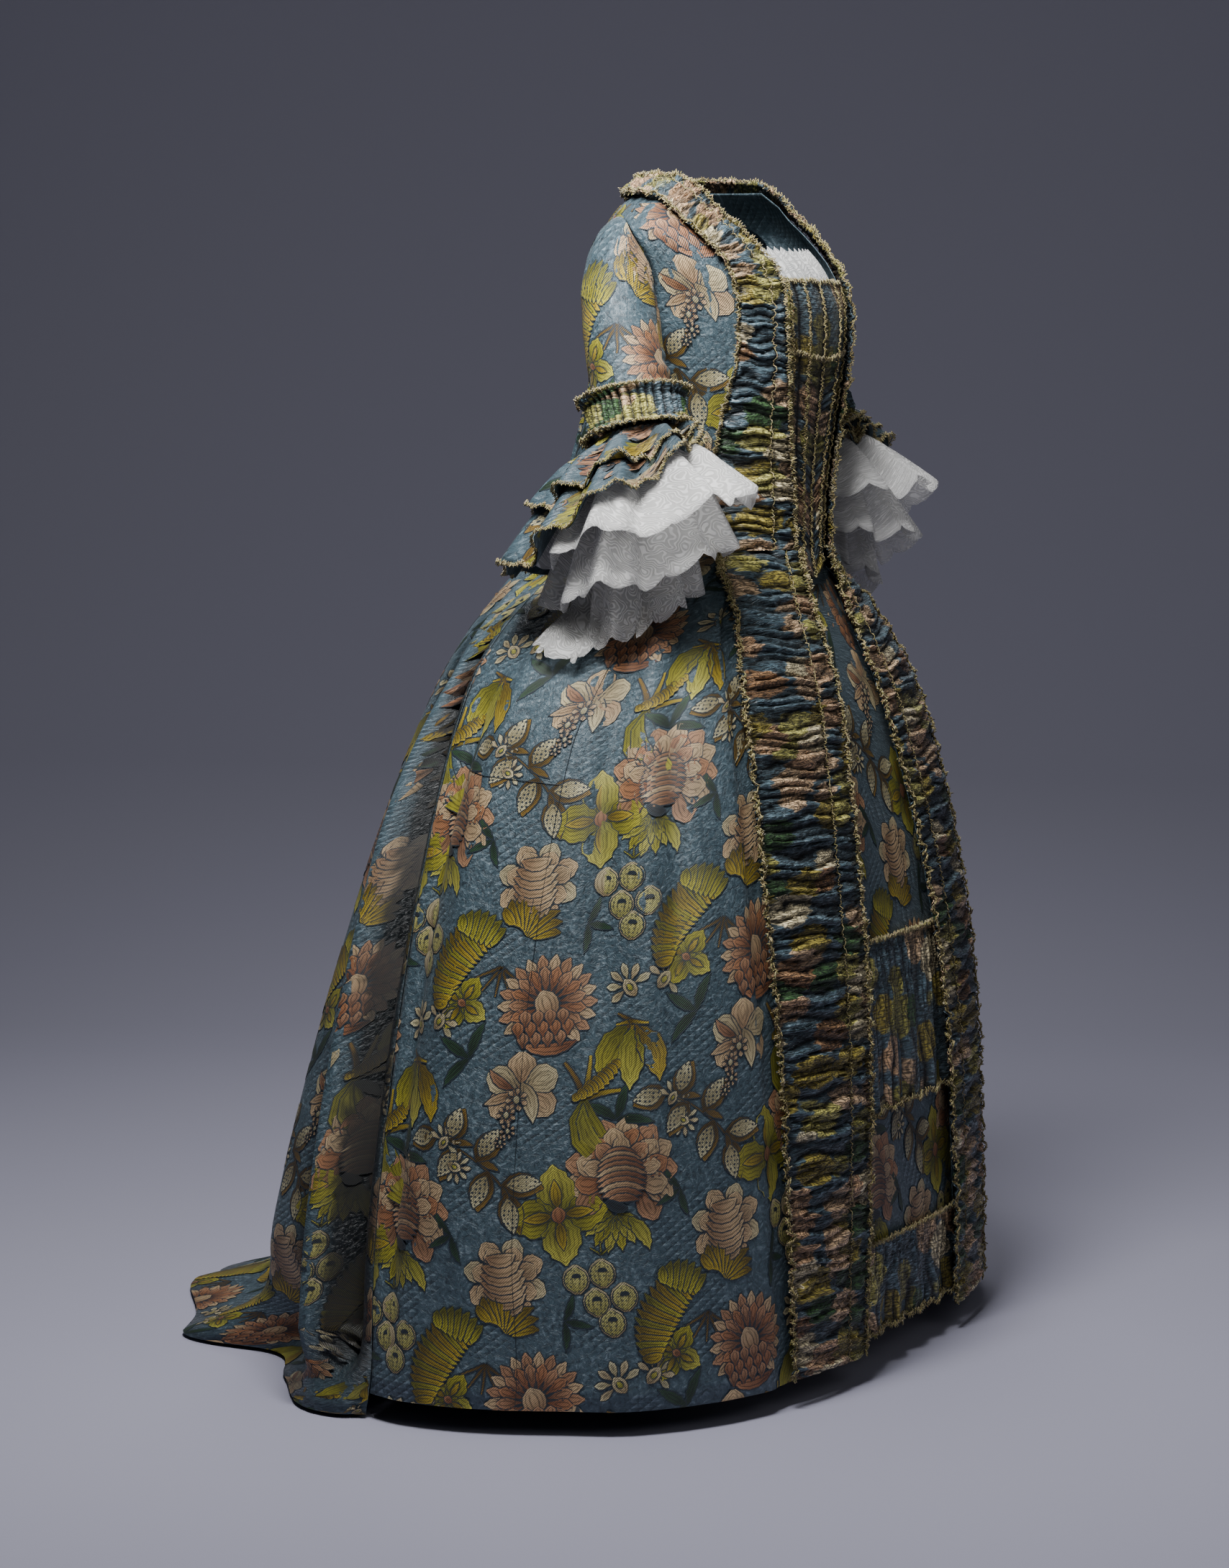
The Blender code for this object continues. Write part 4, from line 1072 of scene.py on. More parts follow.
# %% [markdown]
# ## The bodice
# The bodice is cut in one for the front and the side, and its edge runs round the armhole. A ring of
# cloth, from the outline of the piece in to the armhole, gives that hole without cutting one out.

# %% Bodice, right
ARMHOLE_ANGLE, ARMHOLE_HEIGHT, ARMHOLE_TURN, ARMHOLE_RISE = 112, 1.310, 23, 0.070
FRONT_EDGE = table(
    "height  angle",
    (0.985, 20.0),
    (1.054, 20.3),
    (1.129, 25.1),
    (1.215, 28.4),
    (1.260, 29.5),
    (1.310, 27.5),
    (1.345, 30.0),
    (1.372, 34.0),
    (1.395, 43.0),
    (1.412, 60.0),
    (1.424, 85.0),
    (1.432, 115.0),
)
BODICE_BOTTOM, BODICE_TOP, EDGE_MARGIN = WAIST + 0.0015, 1.420, 3.0
BODICE_RADIUS = 0.155      # metres: turns an angle round the bodice into a width of silk


def front_edge(height):
    return read(FRONT_EDGE, "height", height)["angle"] + EDGE_MARGIN


def bodice_edge(share):
    """Angle and height along the outline: over the top, down the back, along the waist, up the front."""
    edge, along = np.floor(share * 4), share * 4 % 1
    rising, falling = mix(BODICE_BOTTOM, BODICE_TOP, along), mix(BODICE_TOP, BODICE_BOTTOM, along)
    corner_front, corner_back = front_edge(np.float64(BODICE_TOP)), seam_turn(np.float64(BODICE_TOP))[1]
    waist_front, waist_back = front_edge(np.float64(BODICE_BOTTOM)), seam_turn(np.float64(BODICE_BOTTOM))[1]
    angle = np.select(
        [edge == 0, edge == 1, edge == 2],
        [mix(corner_front, corner_back, along), seam_turn(falling)[1], mix(waist_back, waist_front, along)],
        front_edge(rising),
    )
    height = np.select([edge == 0, edge == 1, edge == 2], [BODICE_TOP, falling, BODICE_BOTTOM], rising)
    return angle, height


def armhole_edge(turn):
    """Angle and height on the armhole: turn is 0 at its front and 90 at the shoulder."""
    return ARMHOLE_ANGLE - ARMHOLE_TURN * cosine(turn), ARMHOLE_HEIGHT + ARMHOLE_RISE * sine(turn)


def bodice_place(round_hole, inwards):
    """Angle and height of a point between the outline and the armhole."""
    angle, height = bodice_edge(round_hole % 1)
    forwards, upwards = (ARMHOLE_ANGLE - angle) / ARMHOLE_TURN, (height - ARMHOLE_HEIGHT) / ARMHOLE_RISE
    hole_angle, hole_height = armhole_edge(np.degrees(np.arctan2(upwards, forwards)))
    return mix(angle, hole_angle, inwards), mix(height, hole_height, inwards)


def bodice_thread(round_hole, inwards):
    angle, height = bodice_place(round_hole, inwards)
    return np.stack([np.radians(angle) * BODICE_RADIUS, BODICE_TOP - height], axis=1)


def bodice(round_hole, inwards):
    angle, height = bodice_place(round_hole, inwards)
    pulls = 0.0007 * sine(angle * 22 + height * 900) * ease(0.0, 0.2, inwards) * ease(1.0, 0.8, inwards)
    return moved_out(body_form, angle, height, pulls)


sew("bodice_right_silk", 100, 22, bodice, figured_silk, tube=True, lay=bodice_thread)

# %% Flowers on the bodice
# Its ring-shaped grid would wind the flowers round the armhole, so they are laid on a plain guide.
GUIDE_FRONT, GUIDE_TOP = 50.0, 1.398
ARMHOLE_REACH = 0.066      # metres from the armhole's middle to its front


def bodice_guide(across, down):
    height = mix(GUIDE_TOP, BODICE_BOTTOM + 0.002, down)
    return moved_out(body_form, mix(GUIDE_FRONT, seam_turn(height)[1] - 0.8, across), height, 0.0)


def outside_armhole(spots):
    middle = body_form(np.float64(ARMHOLE_ANGLE), np.float64(ARMHOLE_HEIGHT))
    forwards = (spots[:, 1] - middle[1]) / ARMHOLE_REACH
    upwards = (spots[:, 2] - middle[2]) / (ARMHOLE_RISE + 0.002)
    return forwards ** 2 + upwards ** 2 > 1


guide("bodice_guide", 40, bodice_guide, surface=0.0010)
brocade("bodice_guide", shift=(-0.02, -0.20), only=outside_armhole, wearer="bodice_right_silk")

# %% [markdown]
# ## Sleeves
# A sleeve of this time is narrow, bends a little at the elbow, and is eased into a small armhole. It is a
# tube whose rings follow the arm. Fine creases lie across the inside of the elbow, where the cloth is
# shortest, and small tucks at the shoulder take up its fullness.

# %% Sleeve, right
SLEEVE = table(
    "along  x       y      height  lean  pitch  half_depth  half_width",
    (0.00, -0.188,  0.050, 1.318, 50.0,  0.0, 0.052, 0.064),
    (0.25, -0.204,  0.030, 1.278, 28.0,  2.0, 0.046, 0.051),
    (0.50, -0.220,  0.018, 1.240, 16.0,  6.0, 0.045, 0.050),
    (0.80, -0.236,  0.002, 1.196, 11.0, 11.0, 0.046, 0.048),
    (1.00, -0.246, -0.010, 1.162, 10.0, 14.0, 0.047, 0.048),
    (1.30, -0.256, -0.022, 1.118, 10.0, 16.0, 0.047, 0.048),
)
SLEEVE_GAP, UNDERARM_GAP = 0.0050, 0.0065
ELBOW_CREASE, SHOULDER_TUCK = 0.0022, 0.0018


def arm_point(along, turn, distance=0.0):
    """A point round the sleeve, where turn is 0 at the front and 90 on the outside, and the ring's centre."""
    row = read(SLEEVE, "along", along)
    zero = np.zeros_like(row["x"])
    down = unit(np.stack([-sine(row["lean"]), -sine(row["pitch"]), -cosine(row["lean"])], axis=-1))
    outward = np.stack([-cosine(row["lean"]), zero, sine(row["lean"])], axis=-1)
    forward = unit(np.cross(outward, down))
    forward *= -np.sign(forward[..., 1:2])
    outward = unit(outward - down * (outward * down).sum(axis=-1, keepdims=True))
    centre = np.stack([row["x"], row["y"], row["height"] - HOLD_HEIGHT], axis=-1)
    ahead = ((row["half_depth"] + distance) * cosine(turn))[..., None]
    aside = ((row["half_width"] + distance) * sine(turn))[..., None]
    return centre + forward * ahead + outward * aside, centre


def sleeve(round_arm, down):
    turn = 360 * (round_arm % 1)
    angle, height = armhole_edge(turn)
    seam = moved_out(body_form, angle, height, SLEEVE_GAP)
    inside = 0.5 + 0.5 * cosine(turn + 60)
    creases = ELBOW_CREASE * sine(down * 2300 + 50 * cosine(turn)) * ease(0.45, 0.8, down) * inside
    tucks = SHOULDER_TUCK * sine(turn * 22) * ease(0.35, 0.12, down) * ease(0.0, 0.05, down)
    ring = arm_point(down, turn, creases + tucks)[0]
    return clear_of_gown(mix(seam, ring, np.minimum(down * 4, 1)[..., None]), UNDERARM_GAP)


sew("sleeve_right_silk", 72, 44, sleeve, figured_silk, tube=True, grow=-1)
brocade("sleeve_right_silk", shift=(-0.048, -0.078))

# %% [markdown]
# ## Gathers
# The trimming of this gown is its own silk, cut in strips and drawn up on threads until a strip of three
# metres covers about two. Between the threads the cloth stands in rounded puffs with sharp creases between
# them. A sine wave would be as round below as above. Its size without its sign, raised to a power, is
# round on top and sharp below, which is how gathered cloth looks. Where a thread holds the cloth the
# puffs are low and pinched.

# %% The height of gathered cloth
def puffs(count, along, side, stitches, seed, power=0.5):
    """Height of gathers, 0 in a crease and 1 on a puff, drawn in where the threads lie."""
    drift = 0.26 * sine(360 * (1.6 * side + 0.9 * seed) + 200 * along * count / 7)
    drift += 0.30 * sine(360 * (0.35 * side - seed) + 360 * along * count * 0.21)
    drift += (0.17 * sine(360 * 0.5 * side + 360 * along * count * 0.43)
              + 0.05 * sine(side * 2100 + along * count * 150))
    phase = count * along + drift + 0.55 * side
    puff = np.abs(sine(180 * phase)) ** power
    held = sum(np.exp(-((side - line) / 0.035) ** 2) for line in stitches)
    pinched = np.abs(sine(360 * phase + 90)) ** 0.8
    uneven = 0.72 + 0.28 * sine(360 * phase * 0.37 + 99 * seed + 150 * side)
    return np.clip(mix(puff * uneven, 0.50 * pinched, np.clip(held, 0, 1)), 0, 1)


# %% [markdown]
# ## Finish of the gathered silk
# Gathering breaks the flowers up: what shows is a streak of gold, then salmon, then the blue ground. So
# this finish doesn't lay out whole flowers. It scatters patches as large as a flower over the strip,
# measured along the cloth before it is drawn up, and dyes each one in a colour of the silk.

# %% Finish: gathered brocade
FRAYED, FLOWERS, VEINS = 34.0, 14.0, 46.0  # to a metre: every 29, 71 and 22 mm
WRINKLES = (70.0, 430.0, 1.0)              # to a metre across and along the strip
gathered, tree, shader = new_finish("gathered_brocade")
cloth = add(tree, "ShaderNodeUVMap", uv_map="cloth").outputs[0]
ground, rough, _ = silk_ground(tree, cloth)
frayed = add(tree, "ShaderNodeTexNoise", {"Vector": cloth, "Scale": FRAYED, "Detail": 2.0})
drawn_up = add(tree, "ShaderNodeVectorMath", {0: cloth, 1: (1.0, 1.4, 1.0)}, operation="MULTIPLY")
loose = add(tree, "ShaderNodeVectorMath", {
    0: frayed.outputs["Color"], 1: (0.040, 0.040, 0.0), 2: drawn_up.outputs[0]}, operation="MULTIPLY_ADD")
flowers = add(tree, "ShaderNodeTexVoronoi", {
    "Vector": loose.outputs[0], "Scale": FLOWERS, "Randomness": 0.9}, feature="F1")
which = add(tree, "ShaderNodeSeparateColor", {0: flowers.outputs["Color"]})
dyed = add(tree, "ShaderNodeValToRGB", {"Fac": which.outputs[0]}, (
    (0.0, "#90823a"), (0.16, "#bfa17e"), (0.34, "#868242"), (0.44, "#d0c29c"),
    (0.60, "#94704e"), (0.68, "#ba9672"), (0.82, "#35522f"), (0.90, "#aaa45a")))
dyed.color_ramp.interpolation = "CONSTANT"
inside = add(tree, "ShaderNodeMapRange", {
    "Value": flowers.outputs["Distance"], "From Min": 0.55, "From Max": 0.59, "To Min": 1.0, "To Max": 0.0})
veins = add(tree, "ShaderNodeTexWave", {
    "Vector": loose.outputs[0], "Scale": VEINS, "Distortion": 6.0, "Detail": 1.0})
line = add(tree, "ShaderNodeMapRange", {
    "Value": veins.outputs["Fac"], "From Min": 0.10, "From Max": 0.40, "To Min": 0.35, "To Max": 1.08})
petals = add(tree, "ShaderNodeMix", {
    0: 1.0, 6: dyed.outputs["Color"], 7: line.outputs[0]}, data_type="RGBA", blend_type="MULTIPLY")
silk = add(tree, "ShaderNodeMix", {0: inside.outputs[0], 6: ground, 7: petals.outputs[2]}, data_type="RGBA")
# Fine wrinkles along the strip make the bump and are also painted into the colour, darker in their furrows
# and lighter on their ridges: painted shade and highlight.
pulled = add(tree, "ShaderNodeVectorMath", {0: cloth, 1: WRINKLES}, operation="MULTIPLY")
wrinkle = add(tree, "ShaderNodeTexNoise", {
    "Vector": pulled.outputs[0], "Scale": 1.0, "Detail": 2.0, "Distortion": 0.6})
furrow = add(tree, "ShaderNodeMapRange", {
    "Value": wrinkle.outputs["Fac"], "From Min": 0.36, "From Max": 0.56, "To Min": 0.30, "To Max": 1.30})
silk = add(tree, "ShaderNodeMix", {
    0: 1.0, 6: silk.outputs[2], 7: furrow.outputs[0]}, data_type="RGBA", blend_type="MULTIPLY")
# Painted shade and light: by how high the gathers stand, the creases between the puffs are darkened almost to
# black and the tops of the puffs lightened.
puff = add(tree, "ShaderNodeAttribute", attribute_name="puff").outputs["Fac"]
puff_shading = add(tree, "ShaderNodeMapRange", {
    "Value": puff, "From Min": 0.14, "From Max": 0.75, "To Min": 0.01, "To Max": 1.38})
shaded_gathers = add(tree, "ShaderNodeMix", {
    0: 1.0, 6: silk.outputs[2], 7: puff_shading.outputs[0]}, data_type="RGBA", blend_type="MULTIPLY")
bump = add(tree, "ShaderNodeBump", {"Height": furrow.outputs[0], "Distance": 0.0022, "Strength": 0.9})
tree.links.new(shaded_gathers.outputs[2], shader.inputs["Base Color"])
tree.links.new(rough, shader.inputs["Roughness"])
tree.links.new(bump.outputs[0], shader.inputs["Normal"])
shader.inputs["Sheen Weight"].default_value = 0.10
print("one more finish:", gathered.name)

# %% [markdown]
# ## Ruched borders
# A wide border, called a robing, runs up each side of the open skirt, on up the bodice and round the
# nape. Its threads run along both edges and a third line nearer the inner edge, and some eighty puffs
# lie between hem and waist. The border lies on the gown, so it is the gown's own form moved out.

# %% Skirt border, right
LIFT, CREASE, PUFF = 0.0045, 0.0005, 0.0112    # of the border off the gown, and of its gathers off that
BORDER_STITCHES = (0.04, 0.27, 0.96)
BORDER_TOP, BORDER_HEM, BORDER_FRILL = WAIST - 0.003, HEM + 0.004, 0.0034
SKIRT_PUFFS, BODICE_PUFFS = 84, 62
SKIRT_SEED, BODICE_SEED = 0.3, 0.7


def border_height(count, across, down, seed):
    puff = puffs(count, down, across, BORDER_STITCHES, seed)
    return mix(CREASE, PUFF, puff) + 0.0008 * sine(across * 1900 + down * count * 700)


def skirt_border_along(down):
    """How high a place on the skirt border lies, and its share of the way from waist to hem."""
    height = skirt_height(down, BORDER_TOP, BORDER_HEM)
    return height, (WAIST - height) / (WAIST - HEM)


def skirt_border(across, down):
    height, along = skirt_border_along(down)
    edges = read(SKIRT_ROBING, "height", height)
    frill = BORDER_FRILL * sine(down * 61 * 720) * (ease(0.04, 0.0, across) - ease(0.96, 1.0, across))
    angle = angle_at(mix(edges["inner"], edges["outer"], across) - frill, height)
    lift = LIFT + border_height(SKIRT_PUFFS, across, along, SKIRT_SEED)
    tacked = ease(0.0, 0.012, down)
    return moved_out(body_form, angle, height, lift * tacked + 0.006 * (1 - tacked))


def skirt_border_puff(across, down):
    return puffs(SKIRT_PUFFS, skirt_border_along(down)[1], across, BORDER_STITCHES, SKIRT_SEED)


sew("skirt_border_right", 22, 460, skirt_border, gathered, grow=-1, puff=skirt_border_puff)

# %% Bodice border, right, from the waist over the shoulder to the nape
BODICE_ROBING = table(
    "along  height_in  angle_in  height_out  angle_out",
    (0.00, 0.9900, 20.0, 0.9900, 69.0),
    (0.10, 1.0500, 20.3, 1.0500, 68.8),
    (0.22, 1.1290, 25.1, 1.1290, 65.0),
    (0.34, 1.2150, 28.4, 1.2150, 56.5),
    (0.42, 1.2640, 29.5, 1.2640, 54.6),
    (0.50, 1.3100, 27.5, 1.3100, 53.3),
    (0.56, 1.3450, 30.0, 1.3320, 54.0),
    (0.62, 1.3720, 34.0, 1.3500, 57.0),
    (0.68, 1.3950, 43.0, 1.3680, 63.0),
    (0.75, 1.4120, 60.0, 1.3880, 77.0),
    (0.83, 1.4240, 88.0, 1.4010, 98.0),
    (0.91, 1.4280, 130.0, 1.4065, 130.0),
    (1.00, 1.4280, 179.7, 1.4065, 179.7),
)


def bodice_border(across, down):
    row = read(BODICE_ROBING, "along", 1 - down)
    angle = mix(row["angle_in"], row["angle_out"], across)
    meets_skirt = 0.004 * ease(0.06, 0.0, 1 - down)
    height = mix(row["height_in"], row["height_out"], across) - meets_skirt
    return moved_out(body_form, angle, height, LIFT + border_height(BODICE_PUFFS, across, down, BODICE_SEED))


def bodice_border_puff(across, down):
    return puffs(BODICE_PUFFS, down, across, BORDER_STITCHES, BODICE_SEED)


sew("bodice_border_right", 22, 370, bodice_border, gathered, grow=-1, puff=bodice_border_puff)

# %% Cuff, right
CUFF_START, CUFF_END, CUFF_PUFFS = 0.94, 1.24, 36
CUFF_STITCHES, CUFF_SEED = (0.20, 0.80), 40


def ring_puffs(count, round_arm, side, stitches, seed):
    """Gathers round a tube, which have to meet where it closes."""
    phase = count * round_arm + 0.2 * side
    phase = phase + 0.24 * sine(360 * 3 * round_arm + seed) + 0.2 * sine(360 * 7 * round_arm)
    puff = np.abs(sine(180 * phase)) ** 0.8
    held = sum(np.exp(-((side - line) / 0.05) ** 2) for line in stitches)
    return np.clip(mix(puff, 0.55 * puff, np.clip(held, 0, 1)), 0, 1)


def cuff_puff(round_arm, down):
    return ring_puffs(CUFF_PUFFS, round_arm % 1, down, CUFF_STITCHES, CUFF_SEED)


def cuff(round_arm, down):
    turn = 360 * (round_arm % 1)
    flare = 0.0030 + 0.0065 * np.abs(2 * down - 1) ** 2
    frill = 0.0024 * sine(turn * 46) * (ease(0.14, 0.0, down) + ease(0.86, 1.0, down))
    stands = mix(0.0008, 0.0100, cuff_puff(round_arm, down))
    return arm_point(mix(CUFF_START, CUFF_END, down), turn, flare + stands + frill)[0]


sew("cuff_right_silk", 216, 10, cuff, gathered, tube=True, wall=0.0009, grow=-1, puff=cuff_puff)

# %% [markdown]
# ## Flounces and engageantes
# Two flounces of the silk fall from each elbow, short in front and long behind, with a scalloped edge.
# Under them hang three tiers of fine muslin, the engageantes, which were basted in so that they could be
# washed. A flounce is cut as a curved strip, so its lower edge is much longer than the one that is sewn
# on, and the extra length falls in deep waves. The tiers share those waves, because they lie in each
# other's folds.

# %% The shape of a flounce or a tier
RUFFLE_COLUMNS = "start inset front longest turn lean_front lean_back".split()
RUFFLES = {
    "upper_flounce": (1.26, -0.0020, 0.020, 0.112, 165, 62, 40),
    "lower_flounce": (1.26, 0.0025, 0.032, 0.190, 165, 60, 34),
    "engageante_upper": (1.26, 0.0070, 0.120, 0.170, 115, 54, 26),
    "engageante_middle": (1.26, 0.0110, 0.145, 0.212, 115, 32, 20),
    "engageante_lower": (1.26, 0.0150, 0.165, 0.258, 115, 12, 10),
}
RUFFLE_WAVES, WAVE_DEPTH = 5, 0.060        # a wave's depth is a share of how far the cloth has fallen
GOWN_CLEARANCE, TIER_CLEARANCE, MIDDLE_LAYER = 0.016, 0.006, 4.5


def ruffle(name, scallops, scallop_depth, folds, fold_depth):
    size = dict(zip(RUFFLE_COLUMNS, RUFFLES[name]))
    tier = list(RUFFLES).index(name)

    def shape(round_arm, down):
        turn = 360 * (round_arm % 1)
        long_side = 0.5 + 0.5 * cosine(turn - size["turn"])
        points = scallop_depth * (np.abs(sine(turn * scallops / 2)) ** 0.7 - 1) * ease(0.6, 1.0, down)
        points += 0.12 * scallop_depth * np.abs(sine(turn * scallops * 2)) * ease(0.9, 1.0, down)
        fall = mix(size["front"], size["longest"], long_side) * down + points
        behind = 0.5 - 0.5 * cosine(turn)
        lean = mix(size["lean_front"], size["lean_back"], behind)
        wave = WAVE_DEPTH * fall * sine(turn * RUFFLE_WAVES)
        wave += fold_depth * ease(0, 0.5, down) * sine(turn * folds + 50 * sine(turn * 3) + 50 * down)
        fine = sine(turn * 2.0 * folds + 70 * sine(turn * 5) + 60 * tier)
        wave += 0.35 * fold_depth * ease(0.2, 0.8, down) * fine
        gather = 0.0012 * sine(turn * 44) * ease(0.5, 0.05, down)
        first, _ = arm_point(np.full_like(turn, size["start"]), turn, -size["inset"])
        centre = arm_point(np.float64(size["start"]), np.float64(0))[1]
        away = (first - centre) * (1, 1, 0)
        spots = first + unit(away) * (fall * sine(lean) + (wave + gather) * cosine(lean))[..., None]
        spots[..., 2] += (wave + gather) * sine(lean) - fall * cosine(lean)
        layer = MIDDLE_LAYER + (MIDDLE_LAYER - tier) * sine(turn)
        return clear_of_gown(spots, GOWN_CLEARANCE + TIER_CLEARANCE * layer)

    return shape


for name in ("upper_flounce", "lower_flounce"):
    shape = ruffle(name, scallops=24, scallop_depth=0.006, folds=10, fold_depth=0.0110)
    sew(f"{name}_right_silk", 168, 14, shape, figured_silk, tube=True, pin=0.5)
    brocade(f"{name}_right_silk", shift=(0.05, -0.17 if name == "upper_flounce" else -0.32))

# %% [markdown]
# ## Whitework
# The muslin is so fine that the layers under it show through, and it is embroidered all over in white
# with curling sprays. On such cloth the eye sees the embroidery
# as denser white. So the finish keeps one white and changes how much light passes: less where the
# stitches are, more in the plain muslin between.

# %% Finish: embroidered muslin
SPRAYS, CURLS = 27.0, 36.0     # to a metre: every 37 and 28 mm
muslin, tree, shader = new_finish("embroidered_muslin")
cloth = add(tree, "ShaderNodeUVMap", uv_map="cloth").outputs[0]
swirl = add(tree, "ShaderNodeTexVoronoi", {"Vector": cloth, "Scale": SPRAYS, "Randomness": 0.75},
            feature="F1")
curl = add(tree, "ShaderNodeTexNoise", {"Vector": cloth, "Scale": CURLS, "Detail": 1.0})
spiral = add(tree, "ShaderNodeMath", {
    0: curl.outputs["Fac"], 1: 4.0, 2: swirl.outputs["Distance"]}, operation="MULTIPLY_ADD")
spiral = add(tree, "ShaderNodeMath", {0: spiral.outputs[0], 1: 24.0}, operation="MULTIPLY")
spiral = add(tree, "ShaderNodeMath", {0: spiral.outputs[0]}, operation="SINE")
stitches = add(tree, "ShaderNodeMapRange", {"Value": spiral.outputs[0], "From Min": -0.2, "From Max": 0.7})
density = add(tree, "ShaderNodeMapRange", {"Value": stitches.outputs[0], "To Min": 0.38, "To Max": 0.72})
white = add(tree, "ShaderNodeValToRGB", {"Fac": stitches.outputs[0]}, (
    (0.0, "#e9e8e5"), (1.0, "#fbfaf8")))
bump = add(tree, "ShaderNodeBump", {"Height": stitches.outputs[0], "Distance": 0.0006, "Strength": 0.8})
tree.links.new(white.outputs["Color"], shader.inputs["Base Color"])
tree.links.new(density.outputs[0], shader.inputs["Alpha"])
tree.links.new(bump.outputs[0], shader.inputs["Normal"])
shader.inputs["Roughness"].default_value = 0.85
shader.inputs["Sheen Weight"].default_value = 0.25
shader.inputs["Subsurface Weight"].default_value = 0.5
shader.inputs["Subsurface Radius"].default_value = (1.0, 1.0, 1.0)
shader.inputs["Subsurface Scale"].default_value = 0.004

# %% Engageantes, right
for name in ("engageante_upper", "engageante_middle", "engageante_lower"):
    shape = ruffle(name, scallops=22, scallop_depth=0.010, folds=10, fold_depth=0.0110)
    sew(f"{name}_right_muslin", 200, 15, shape, muslin, tube=True, wall=0.0005)

# %% [markdown]
# ## Stomacher and tucker
# The stomacher is a stiff triangle pinned between the two fronts. Near its top the silk lies plain
# between lines of fringe, and lower down it is ruched in narrow upright bands. A frill of pleated muslin,
# the tucker, is tacked inside its top edge.

# %% Stomacher
STOMACHER_TOP, STOMACHER_POINT, STOMACHER_BANDS, STOMACHER_LIFT = 1.309, 0.950, 4, -0.0035
STOMACHER_PUFFS = 46
PLAIN_PART = 0.26          # share of the stomacher that lies plain below its top edge


def stomacher_puff(across, down):
    band = np.abs(sine(180 * STOMACHER_BANDS * across)) ** 0.5
    ruched = band * puffs(STOMACHER_PUFFS, down, across, (), 0.4)
    return mix(0.62 * band, ruched, ease(PLAIN_PART, PLAIN_PART + 0.05, down))


def stomacher(across, down):
    swing = 2 * across - 1
    low = mix(STOMACHER_POINT, WAIST + 0.006, np.minimum(np.abs(swing) / 0.8, 1))
    height = mix(STOMACHER_TOP, low, down)
    half = read(FRONT_EDGE, "height", np.maximum(height, WAIST))["angle"] + 6
    inside = ease(0.0, 0.16, across) * ease(1.0, 0.84, across)
    stands = mix(0.0018, mix(0.0022, 0.0068, stomacher_puff(across, down)), inside)
    return moved_out(body_form, swing * half, height, STOMACHER_LIFT + stands)


sew("stomacher_silk", 60, 160, stomacher, gathered, grow=-1, puff=stomacher_puff, pin=0.5)

# %% Tucker
TUCKER_TOP, TUCKER_PLEATS = 1.353, 13


def tucker(across, down):
    swing = 2 * across - 1
    pleat = (TUCKER_PLEATS * across) % 1
    ragged = 0.003 * ease(0.2, 0.0, down) * (pleat - 0.5)
    height = mix(TUCKER_TOP, STOMACHER_TOP - 0.012, down) + ragged
    knife = 0.0042 * (pleat - 0.5) * mix(1.0, 0.5, down) * ease(0.0, 0.12, pleat)
    return moved_out(body_form, swing * 32, height, -0.0080 + knife)


sew("tucker_muslin", 132, 12, tucker, muslin, wall=0.0005, pin=0.5)

# %% [markdown]
# ## Petticoat
# The petticoat is a second skirt of the same silk under the open gown. Only its front is ever seen, so
# only that is trimmed: a deep gathered furbelow at the knee and a ruffle at the hem. The rest of its
# silk is plain ground. It goes all the way round, because it is what the gown rests on.

# %% Petticoat and its flowers
PETTICOAT_IN, PETTICOAT_IN_BACK, PETTICOAT_HEM = 0.0080, 0.0650, 0.055


def petticoat(across, down):
    angle = 360 * (across % 1)
    height = skirt_height(down, WAIST - 0.006, PETTICOAT_HEM)
    turn = np.minimum(angle, 360 - angle)
    spots = body_form(turn, height)
    spots[..., 0] *= np.where(angle > 180, -1, 1)
    centre = np.stack([0 * height, read(SKIRT, "height", height)["middle"], spots[..., 2]], axis=-1)
    inwards = mix(PETTICOAT_IN, PETTICOAT_IN_BACK, ease(75, 112, turn))
    inwards = inwards - 0.0012 * sine(angle * 60) * ease(0.80, 0.97, height)
    return spots + unit(centre - spots) * inwards[..., None]


def petticoat_front(offset, height, lift):
    """A point on the front of the petticoat, so many metres to one side of its centre line."""
    angle = np.copysign(angle_at(np.abs(offset), height), offset)
    return moved_out(body_form, angle, height, lift - PETTICOAT_IN)


sew("petticoat_silk", 160, 40, petticoat, figured_silk, tube=True)
GUIDE_HALF = 0.2           # metres each side of the centre that flowers show in the opening


def petticoat_guide(across, down):
    height = skirt_height(down, WAIST - 0.03, PETTICOAT_HEM)
    return petticoat_front(mix(-GUIDE_HALF, GUIDE_HALF, across), height, 0.0)


def between_trimmings(spots):
    height = spots[:, 2] + HOLD_HEIGHT
    return ((height > 0.50) | (height < 0.335)) & (height > 0.13)


guide("petticoat_guide", 60, petticoat_guide, pin=0.5, surface=0.0012)
brocade("petticoat_guide", shift=(-0.13, -0.16), only=between_trimmings, wearer="petticoat_silk")

# %% Furbelow and hem ruffle
FURBELOW = {"top": 0.520, "bottom": 0.316, "half": 0.215, "folds": 7, "puffs": 34, "head": 0.26}
HEM_RUFFLE = {"top": 0.158, "bottom": 0.050, "half": 0.225, "folds": 7, "puffs": 36, "head": 0.20}


def furbelow_puff(size):
    def puff(across, down):
        held = puffs(size["puffs"], across, down, (0.03, size["head"]), 0.2)
        opened = puffs(size["puffs"] / 2, across, down, (), 0.5, power=0.9)
        return mix(held, opened, ease(size["head"] + 0.04, 0.75, down))

    return puff


def furbelow(size):
    puff = furbelow_puff(size)

    def shape(across, down):
        height = mix(size["top"], size["bottom"], down)
        height = height + 0.003 * sine(across * 360 * 23) * ease(0.93, 1.0, down)
        wave = 0.0050 * down * cosine(360 * size["folds"] * across)
        lift = 0.0030 + wave + 0.0060 * puff(across, down) * mix(1.0, 0.75, down)
        return petticoat_front(mix(-size["half"], size["half"], across), height, lift)

    return shape


